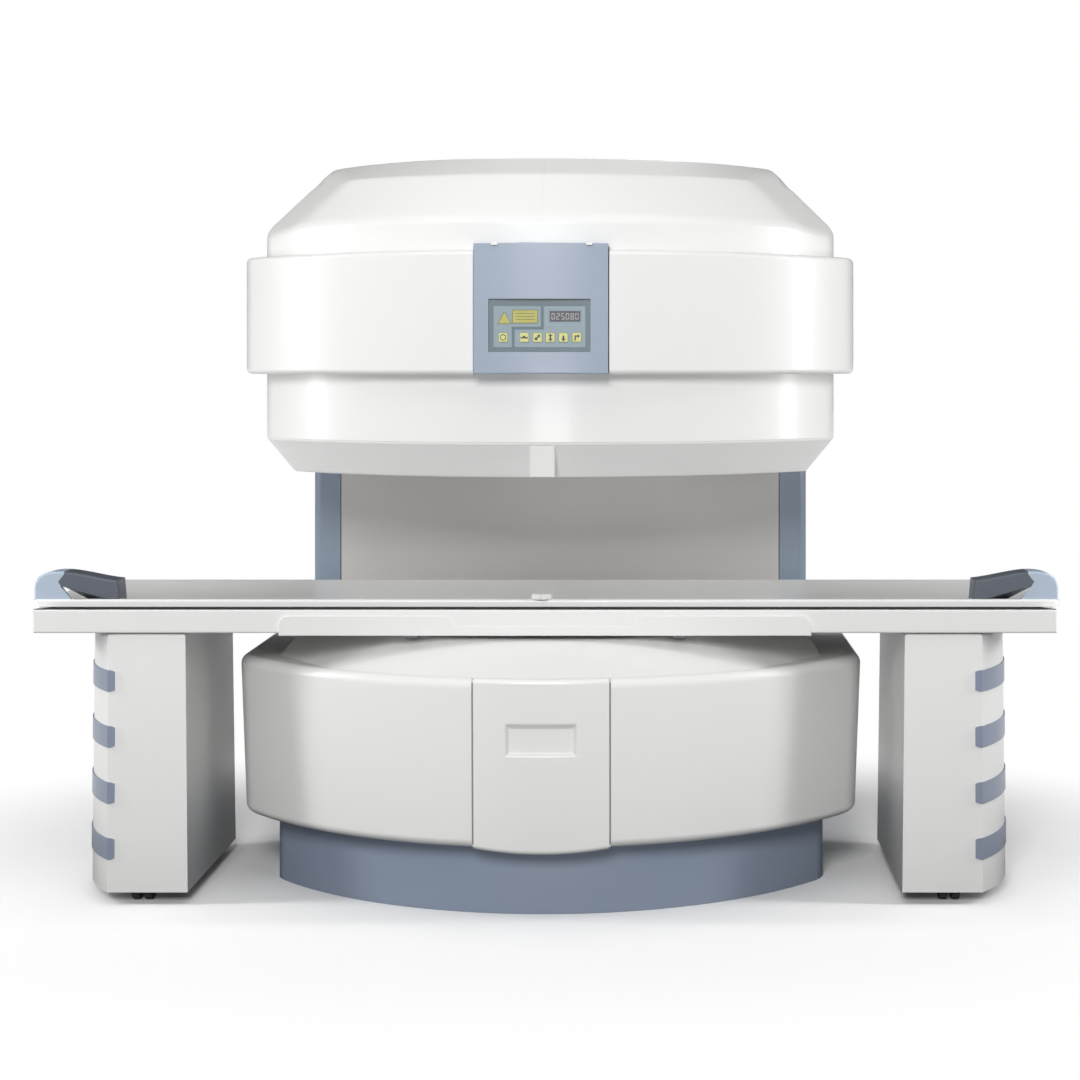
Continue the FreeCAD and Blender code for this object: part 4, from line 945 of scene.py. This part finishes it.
# ---- small printed and fixed parts ----
def plates(name, outlines, front, thickness):
    """Raised plates on an upright plane; each outline is a list of (x, z), any way round."""
    points = []
    faces = []
    for outline in outlines:
        area = sum(a[0] * b[1] - b[0] * a[1] for a, b in zip(outline, outline[1:] + outline[:1]))
        line = outline if area > 0 else outline[::-1]
        base = len(points)
        count = len(line)
        points += [(x, front, z) for x, z in line] + [(x, front + thickness, z) for x, z in line]
        faces.append([base + i for i in range(count)])
        faces.append([base + count + i for i in reversed(range(count))])
        for i in range(count):
            k = (i + 1) % count
            faces.append([base + k, base + i, base + count + i, base + count + k])
    return smooth(solid(name, points, faces), angle=30.0)


def box_line(x0, x1, z0, z1):
    return [(x0, z0), (x1, z0), (x1, z1), (x0, z1)]


def turned_outline(outline, degrees, place, size):
    """An outline in units, turned, scaled and moved to its place."""
    turn = math.radians(degrees)
    return [(place[0] + size * (x * math.cos(turn) - z * math.sin(turn)),
             place[1] + size * (x * math.sin(turn) + z * math.cos(turn))) for x, z in outline]


def dial_outlines(radius, width, count):
    """Ring of flat segments in units."""
    outlines = []
    for i in range(count):
        first = 2 * math.pi * (i + 0.08) / count
        last = 2 * math.pi * (i + 0.92) / count
        corners = ((radius, first), (radius, last), (radius - width, last), (radius - width, first))
        outlines.append([(reach * math.cos(turn), reach * math.sin(turn)) for reach, turn in corners])
    return outlines


# signs in units of the sign's size
ARROW = [(-0.10, -0.20), (0.10, -0.20), (0.10, 0.12), (0.26, 0.12), (0.0, 0.42), (-0.26, 0.12), (-0.10, 0.12)]
DOUBLE_ARROW = [(-0.09, -0.16), (-0.24, -0.16), (0.0, -0.42), (0.24, -0.16), (0.09, -0.16), (0.09, 0.16),
                (0.24, 0.16), (0.0, 0.42), (-0.24, 0.16), (-0.09, 0.16)]
HOOK = [(-0.26, -0.34), (-0.10, -0.34), (-0.10, 0.06), (0.10, 0.06), (0.10, -0.08), (0.32, 0.14),
        (0.10, 0.36), (0.10, 0.22), (-0.26, 0.22)]
COUCH = [(-0.40, -0.12), (0.40, -0.12), (0.40, 0.04), (0.16, 0.04), (0.10, 0.18), (-0.12, 0.18),
         (-0.18, 0.04), (-0.40, 0.04)]
SIGN_SIZE = 0.0235
INK = 0.0003                    # thickness of a printed sign or digit, half of it in front of its ground
KEY_SIGNS = {                   # outlines and turn in degrees
    "key_1": (dial_outlines(0.36, 0.11, 8), 22.5), "key_2": ([COUCH], 0.0), "key_3": ([DOUBLE_ARROW], -45.0),
    "key_4": ([DOUBLE_ARROW], 0.0), "key_5": ([ARROW], 180.0), "key_6": ([HOOK], 0.0),
}


def make_keys():
    """The six keys with their dark generic signs; each sign moves with its key."""
    for node in KEY_SIGNS:
        softened(node, "key_yellow", 0.0004)
    for node, (outlines, degrees) in KEY_SIGNS.items():
        low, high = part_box(node)
        middle = ((low.x + high.x) / 2, (low.z + high.z) / 2)
        turned = [turned_outline(outline, degrees, middle, SIGN_SIZE) for outline in outlines]
        piece = plates(node + "_sign", turned, low.y - INK / 2, INK)
        hand_in(piece, "key_yellow", body=node, ink="symbol_ink")


# column, row and whether it lies flat, of each segment of a digit
SEGMENTS = {"a": (0, 1, 1), "b": (1, 1, 0), "c": (1, 0, 0), "d": (0, 0, 1), "e": (0, 0, 0), "f": (0, 1, 0),
            "g": (0, 0.5, 1)}
DIGITS = {"0": "abcdef", "2": "abged", "5": "afgcd", "8": "abcdefg"}


def make_display_digits():
    """Seven-segment digits of the display."""
    low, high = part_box("display_window")
    tall = (high.z - low.z) * 0.60
    pitch = (high.x - low.x) * 0.155
    wide = pitch * 0.72
    bar = 0.0021
    z0 = (low.z + high.z - tall) / 2
    outlines = []
    for place, digit in enumerate("025080"):
        left = low.x + pitch * 0.38 + place * pitch
        for column, row, lying in (SEGMENTS[segment] for segment in DIGITS[digit]):
            if lying:
                z = z0 + row * (tall - bar)
                outlines.append(box_line(left + bar * 0.6, left + wide - bar * 0.6, z, z + bar))
            else:
                x = left + column * (wide - bar)
                z = z0 + row * tall / 2
                outlines.append(box_line(x, x + bar, z + bar * 0.35, z + tall / 2 - bar * 0.35))
    hand_in(plates("display_digits", outlines, low.y - INK / 2, INK), "display_grey", ink="digit_light")


KEYPAD_FIELD = (1.449, 1.552)                    # bottom, top
KEYPAD_GROOVE = (0.004, 1.497, -0.069)           # upright line, level line, foot of the lower upright line
BAR_LENS = (-0.0695, -0.0085, 1.5105, 1.5415)    # left, right, bottom, top
TRIANGLE_LENS = [(-0.1065, 1.509), (-0.0755, 1.509), (-0.091, 1.537)]


def border_outlines(outline, gap, width):
    """Flat border of even width outside an outline that runs anticlockwise."""
    lines = []
    for reach in (gap, gap + width):
        moved = []
        for i, here in enumerate(outline):
            first = (Vector(here) - Vector(outline[i - 1])).normalized()
            last = (Vector(outline[(i + 1) % len(outline)]) - Vector(here)).normalized()
            out = Vector((first.y + last.y, -first.x - last.x)).normalized()
            moved.append(tuple(Vector(here) + out * reach / out.dot(Vector((first.y, -first.x)))))
        lines.append(moved)
    inner, outer = lines
    count = len(outline)
    return [[inner[i], outer[i], outer[(i + 1) % count], inner[(i + 1) % count]] for i in range(count)]


def make_keypad_lines():
    """Dividing lines of the keypad film, borders of its display and lenses, and ribs on the bar lens."""
    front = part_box("keypad_plate")[0].y - 0.0003
    half = 0.0036
    (bottom, top), (upright, crossbar, foot) = KEYPAD_FIELD, KEYPAD_GROOVE
    lines = [box_line(upright - half, upright + half, crossbar - half, top),
             box_line(foot - half, upright - half, crossbar - half, crossbar + half),
             box_line(foot - half, foot + half, bottom, crossbar - half)]
    hand_in(plates("keypad_lines", lines, front, 0.0004), "keypad_teal", ink="keypad_line")
    low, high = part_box("display_window")
    rim = border_outlines(box_line(low.x, high.x, low.z, high.z), 0.0075, 0.0014)
    hand_in(plates("display_border", rim, front, 0.0004), "keypad_teal", ink="keypad_rim")
    borders = border_outlines(box_line(*BAR_LENS), 0.0, 0.0016) + border_outlines(TRIANGLE_LENS, 0.0, 0.0014)
    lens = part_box("indicator_lamps")[0].y - 0.0003
    ribs = [box_line(BAR_LENS[0] + 0.006, BAR_LENS[1] - 0.006, z - 0.0008, z + 0.0008)
            for z in spread(BAR_LENS[2] + 0.008, BAR_LENS[3] - 0.008, 3)]
    hand_in(plates("lens_borders", borders + ribs, lens, 0.0012), "lamp_yellow", ink="lens_edge")


def make_panel_white_plates():
    """Two small white plates on the control housing's upper edge."""
    half, bottom, top = 0.008, 1.7045, 1.7115
    front, depth = -0.7499, 0.0119
    for x, name in ((-0.1155, "left"), (0.1220, "right")):
        outline = box_line(x - half, x + half, bottom, top)
        hand_in(smooth(plates("panel_clip_" + name, [outline], front, depth), 0.0012))


def screw_pattern():
    """Low domed screw head with a round socket, one unit across."""
    turns = [2 * math.pi * i / 18 for i in range(18)]
    section = [(0.50, -0.30), (0.50, 0.02), (0.47, 0.10), (0.40, 0.17), (0.30, 0.21), (0.24, 0.22),
               (0.215, 0.20), (0.20, 0.02)]
    rings = [[(radius * math.cos(turn), radius * math.sin(turn), height) for turn in turns]
             for radius, height in section]
    return rings_mesh("screw_pattern", rings, True, False)


def make_screws():
    """Small socket screws at the hatch's lower edge and on the rear cover of the column."""
    pattern = screw_pattern()
    small, large = 0.0062, 0.011                        # sizes across
    from_side, from_end = 0.028, 0.04
    hatch = [((x, on_arc(LOWER[1] - 0.0205, x), 0.1995), (x, -1.0, -0.75)) for x in (-0.100, 0.121)]
    low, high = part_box("column_rear_cover")
    heights = (low.z + from_end, (low.z + high.z) / 2, high.z - from_end)
    rear = [((side * (high.x - from_side), high.y, height), (0.0, 1.0, 0.0))
            for side in (-1, 1) for height in heights]
    piece = repeated("hatch_screws", pattern, hatch, small, "screw_dark")
    hand_in(piece, "cover_white", body="front_hatch", ink="screw_dark")
    hand_in(repeated("column_rear_screws", pattern, rear, large, "bolt_steel"), "bolt_steel")
    drop(pattern)


# ---- stage ----
def grey(value):
    return value, value, value


def backdrop_finish():
    """Pale floor that keeps the object's shadow near it and turns plain white further out."""
    return new_finish(
        "stage_floor", {"Roughness": 0.85, "Specular IOR Level": 0.15},
        {"grain": ("Mottle", {"Scale": 3.0}), "pale": mix(grey(0.97), grey(0.99)),
         "rays": ("ShaderNodeLightPath", {}), "seen": (MATH, {"operation": "MAXIMUM"}),
         "parts": (SPLIT, {}), "away": (MATH, {"operation": "ABSOLUTE"}),
         "before": (RANGE, {"From Min": 0.95, "From Max": 1.40}), "bounce": mix(grey(0.08), grey(0.40)),
         "ground": mix(grey(0.0), grey(0.0)), "oval": ("ShaderNodeMapping", {"Scale": (0.72, 1.0, 1.0)}),
         "length": ("ShaderNodeVectorMath", {"operation": "LENGTH"}),
         "far": (RANGE, {"From Min": 0.8, "From Max": 1.7, "interpolation_type": "SMOOTHSTEP"}),
         "share": (MATH, {"operation": "MULTIPLY"}), "white": ("ShaderNodeEmission", {"Strength": 1.0}),
         "blend": ("ShaderNodeMixShader", {})},
        "grain.Value > pale.0; rays.Is Camera Ray > seen.0; rays.Is Glossy Ray > seen.1;"
        "place.Object > parts.Vector; parts.Y > away.0; away.0 > before.Value; before.Result > bounce.0;"
        "rays.Is Camera Ray > ground.0; bounce.2 > ground.6; pale.2 > ground.7;"
        "ground.2 > shader.Base Color; place.Object > oval.Vector; oval.Vector > length.0;"
        "length.Value > far.Value; seen.0 > share.0; far.Result > share.1; share.0 > blend.0;"
        "shader.0 > blend.1; white.0 > blend.2; blend.0 > surface.Surface")


def studio_world(strength):
    """White to the camera, and a soft even light for the object."""
    world = bpy.data.worlds.new("Studio")
    bpy.context.scene.world = world
    world.use_nodes = True
    tree = world.node_tree
    known = {"around": tree.nodes["Background"], "surface": tree.nodes["World Output"]}
    set_values(known["around"], {"Color": (0.97, 0.98, 1.0, 1.0), "Strength": strength})
    grow(tree, known,
         {"white": ("ShaderNodeBackground", {"Color": (1.0, 1.0, 1.0, 1.0), "Strength": 1.0}),
          "rays": ("ShaderNodeLightPath", {}), "blend": ("ShaderNodeMixShader", {})},
         "rays.Is Camera Ray > blend.0; around.0 > blend.1; white.0 > blend.2; blend.0 > surface.Surface")


def stage_object(name, data, place):
    holder = object_from(name, data)
    holder.location = place
    return holder


def softbox(name, place, target, width, height, power, mirrored_in_gloss=True):
    """Rectangular lamp that looks at a target; a small fill lamp leaves no spot in glossy covers."""
    lamp = bpy.data.lights.new(name, "AREA")
    lamp.shape = "RECTANGLE"
    lamp.size = width
    lamp.size_y = height
    lamp.energy = power
    holder = stage_object(name, lamp, place)
    holder.rotation_euler = (Vector(target) - Vector(place)).to_track_quat("-Z", "Y").to_euler()
    holder.visible_glossy = mirrored_in_gloss


def make_camera(stage):
    """Camera that stands upright and looks to the rear; its shifts place the object in the picture."""
    camera = bpy.data.cameras.new("Camera")
    camera.sensor_width = 36.0
    camera.lens = stage.lens
    camera.shift_x = -0.10833
    camera.shift_y = -0.15926
    camera.clip_end = 100.0
    holder = stage_object("Camera", camera, stage.camera_place)
    holder.rotation_euler = (math.pi / 2, 0.0, 0.0)
    bpy.context.scene.camera = holder


# ---- sizes and colours that a user would change ----
def colour_property(name, description, default):
    return bpy.props.FloatVectorProperty(name=name, description=description, default=default, size=3,
                                         min=0.0, max=1.0, subtype="COLOR")


def power_property(name, description, default):
    return bpy.props.FloatProperty(name=name, description=description, default=default, min=0.0, unit="POWER")


class ScannerColours(bpy.types.PropertyGroup):
    cover_white: colour_property("Cover white", "Colour of the moulded covers", (0.80, 0.80, 0.79))
    # the column's front is the covers' white darkened, as painted shade of the gap under the upper half
    column_white: colour_property("Column white", "Colour of the column's front", (0.53, 0.515, 0.50))
    # the pan is the covers' white made lighter, as painted light on its shaded underside
    pan_white: colour_property("Pan white", "Colour of the pan under the upper half", (0.84, 0.835, 0.83))
    panel_blue: colour_property("Panel blue", "Colour of the control housing", (0.325, 0.380, 0.470))
    # the column sides' blue is darkened with painted shade of their recess under the upper half
    trim_blue: colour_property("Trim blue", "Colour of the column's sides", (0.225, 0.275, 0.350))
    plinth_blue: colour_property("Plinth blue", "Colour of the base plinth", (0.262, 0.322, 0.430))
    handle_blue: colour_property("Handle blue", "Colour of the end grips' fins", (0.40, 0.47, 0.57))
    handle_slate: colour_property("Handle slate", "Colour of the end grips' straps", (0.088, 0.101, 0.128))
    stripe_blue: colour_property("Stripe blue", "Colour of the pedestals' stripes", (0.215, 0.252, 0.335))
    key_yellow: colour_property("Key yellow", "Colour of the keys", (0.60, 0.60, 0.215))
    lamp_yellow: colour_property("Lamp yellow", "Colour of the indicator lenses", (0.52, 0.50, 0.145))
    keypad_border: colour_property("Keypad border", "Dark colour of the keypad film", (0.072, 0.125, 0.148))
    keypad_field: colour_property("Keypad field", "Light colour of the keypad film", (0.205, 0.278, 0.322))


class ScannerStage(bpy.types.PropertyGroup):
    camera_place: bpy.props.FloatVectorProperty(
        name="Camera place", description="Where the camera stands", default=(0.2915, -5.750, 1.397),
        size=3, subtype="TRANSLATION", unit="LENGTH")
    lens: bpy.props.FloatProperty(
        name="Lens", description="Focal length in millimetres", default=66.67, min=20.0, max=200.0)
    ambient: bpy.props.FloatProperty(
        name="Ambient", description="Strength of the even light", default=0.02, min=0.0, max=2.0)
    front_power: power_property("Front lamps", "Power of the two front softboxes together", 385.0)
    top_power: power_property("Top lamp", "Power of the overhead softbox", 52.0)
    rear_power: power_property("Rear lamp", "Power of the two softboxes behind the object", 260.0)
    side_power: power_property("Side lamps", "Power of each of the two side strips", 36.0)


# ---- operators ----
class SCANNER_OT_finishes(bpy.types.Operator):
    """Make the finishes of all pieces"""
    bl_idname = "scanner.finishes"
    bl_label = "Finishes"

    def execute(self, context):
        make_effects()
        make_finishes()
        make_trees()
        return {"FINISHED"}


class SCANNER_OT_stage(bpy.types.Operator):
    """Set up the floor, the lamps and the camera"""
    bl_idname = "scanner.stage"
    bl_label = "Stage"

    def execute(self, context):
        stage = context.scene.scanner_stage
        make_camera(stage)
        floor = mesh_object("stage_floor", [(-30, -12, 0), (30, -12, 0), (30, 40, 0), (-30, 40, 0)],
                            [(0, 1, 2, 3)])
        floor.data.materials.append(backdrop_finish())
        studio_world(stage.ambient)
        front, side, rear = stage.front_power, stage.side_power, stage.rear_power
        softbox("Front high", (-0.5, -7.4, 3.9), (0.0, -0.3, 0.8), 2.0, 2.2, front * 0.87)
        softbox("Front low", (0.0, -6.9, 0.8), (0.0, -0.3, 0.5), 1.4, 0.9, front * 0.13)
        softbox("Top", (-0.2, -1.8, 4.4), (0.0, -0.3, 1.0), 4.0, 3.0, stage.top_power)
        softbox("Side left", (-3.3, -0.7, 2.05), (0.0, -0.3, 1.5), 0.35, 2.3, side)
        softbox("Side right", (3.3, -0.7, 2.05), (0.0, -0.3, 1.5), 0.35, 2.3, side * 1.05)
        softbox("Gap left", (-2.3, -0.75, 1.03), (0.0, 0.2, 1.0), 0.2, 0.2, side * 0.15, False)
        softbox("Gap right", (2.3, -0.75, 1.03), (0.0, 0.2, 1.0), 0.2, 0.2, side * 0.13, False)
        softbox("Rear low", (0.4, 6.8, 0.45), (0.0, 0.5, 0.9), 4.4, 0.60, rear * 0.86, False)
        softbox("Rear high", (0.0, 5.6, 5.2), (0.0, 0.5, 0.9), 2.0, 1.6, rear * 0.14)
        context.scene.view_settings.view_transform = "Standard"
        return {"FINISHED"}


class SCANNER_OT_lower_covers(bpy.types.Operator):
    """Build the plinth, the lower covers, the hatch and the dome, and the seams of hatch and controls"""
    bl_idname = "scanner.lower_covers"
    bl_label = "Lower covers"

    def execute(self, context):
        make_base_plinth()
        make_lower_covers()
        make_front_hatch()
        make_lower_pole_cover()
        make_seams()
        return {"FINISHED"}


class SCANNER_OT_upper_covers(bpy.types.Operator):
    """Build the pan, the skirt, the band and the crown of the upper half"""
    bl_idname = "scanner.upper_covers"
    bl_label = "Upper covers"

    def execute(self, context):
        make_upper_pole_cover()
        make_upper_skirt()
        make_upper_bands()
        make_top_cover()
        # the laser window's darker white is painted shade
        softened("laser_window", "laser_white", 0.0012)
        return {"FINISHED"}


class SCANNER_OT_column(bpy.types.Operator):
    """Build the covers of the rear column"""
    bl_idname = "scanner.column"
    bl_label = "Rear column"

    def execute(self, context):
        # the column sides' dark blue is partly painted shade of their recess
        softened("column_side_left", "trim_blue", 0.0012)
        softened("column_side_right", "trim_blue", 0.0012)
        softened("column_rear_cover", "cover_white", 0.0012)
        # the front's darker white is painted shade of the gap under the upper half
        softened("column_front_cover", "cover_white", 0.0012, ink="column_white")
        make_screws()
        return {"FINISHED"}


class SCANNER_OT_controls(bpy.types.Operator):
    """Build the control housing with its keypad, keys and windows"""
    bl_idname = "scanner.controls"
    bl_label = "Controls"

    def execute(self, context):
        make_control_housing()
        softened("keypad_plate", "keypad_teal", 0.0003)
        softened("display_window", "display_grey", 0.0005)
        softened("indicator_lamps", "lamp_yellow", 0.0003)
        make_keys()
        make_display_digits()
        make_keypad_lines()
        make_panel_white_plates()
        return {"FINISHED"}


class SCANNER_OT_table(bpy.types.Operator):
    """Build the patient table with its frame, top and end grips"""
    bl_idname = "scanner.table"
    bl_label = "Patient table"

    def execute(self, context):
        softened("bed_frame", "frame_white", 0.0012)
        softened("bridge_bracket", "frame_white", 0.0008)
        softened("tabletop", "tabletop_white", 0.0012)
        softened("brake_knob", "tabletop_white", 0.0008)
        # the rails take the dark yoke steel finish as painted shade, so their ends under the bridge bracket
        # read as its shadow
        softened("cross_rails", "leg_steel", 0.0010, ink="yoke_steel")
        make_ledge_strips()
        make_end_grips()
        return {"FINISHED"}


class SCANNER_OT_pedestals(bpy.types.Operator):
    """Build the two pedestals with their stripes and casters"""
    bl_idname = "scanner.pedestals"
    bl_label = "Pedestals"

    def execute(self, context):
        for out, side in reversed(SIDES):
            make_pedestal(side, out)
            for end in ("front", "rear"):
                softened("caster_fork_%s_%s" % (side, end), "caster_black", 0.0008)
                softened("caster_wheels_%s_%s" % (side, end), "wheel_rubber", 0.0006)
        return {"FINISHED"}


class SCANNER_OT_inner_parts(bpy.types.Operator):
    """Give the magnet and the other inner parts their finishes"""
    bl_idname = "scanner.inner_parts"
    bl_label = "Inner parts"

    def execute(self, context):
        dress_inner_parts()
        return {"FINISHED"}


class SCANNER_PT_panel(bpy.types.Panel):
    """Panel that lists the scanner's operators"""
    bl_idname = "SCANNER_PT_panel"
    bl_label = "Open MRI scanner"
    bl_space_type = "VIEW_3D"
    bl_region_type = "UI"
    bl_category = "Scanner"

    def draw(self, context):
        for operator in OPERATORS:
            self.layout.operator(operator.bl_idname)
        for settings in (context.scene.scanner_colours, context.scene.scanner_stage):
            for label in settings.__annotations__:
                self.layout.prop(settings, label)


OPERATORS = (SCANNER_OT_finishes, SCANNER_OT_stage, SCANNER_OT_lower_covers, SCANNER_OT_upper_covers,
             SCANNER_OT_column, SCANNER_OT_controls, SCANNER_OT_table, SCANNER_OT_pedestals,
             SCANNER_OT_inner_parts)
CLASSES = (ScannerColours, ScannerStage) + OPERATORS + (SCANNER_PT_panel,)


def register():
    for cls in CLASSES:
        bpy.utils.register_class(cls)
    bpy.types.Scene.scanner_colours = bpy.props.PointerProperty(type=ScannerColours)
    bpy.types.Scene.scanner_stage = bpy.props.PointerProperty(type=ScannerStage)


def unregister():
    del bpy.types.Scene.scanner_stage
    del bpy.types.Scene.scanner_colours
    for cls in reversed(CLASSES):
        bpy.utils.unregister_class(cls)


def main():
    register()
    bpy.ops.scanner.finishes()
    bpy.ops.scanner.stage()
    bpy.ops.scanner.lower_covers()
    bpy.ops.scanner.upper_covers()
    bpy.ops.scanner.column()
    bpy.ops.scanner.controls()
    bpy.ops.scanner.table()
    bpy.ops.scanner.pedestals()
    bpy.ops.scanner.inner_parts()


if __name__ == "__main__":
    main()
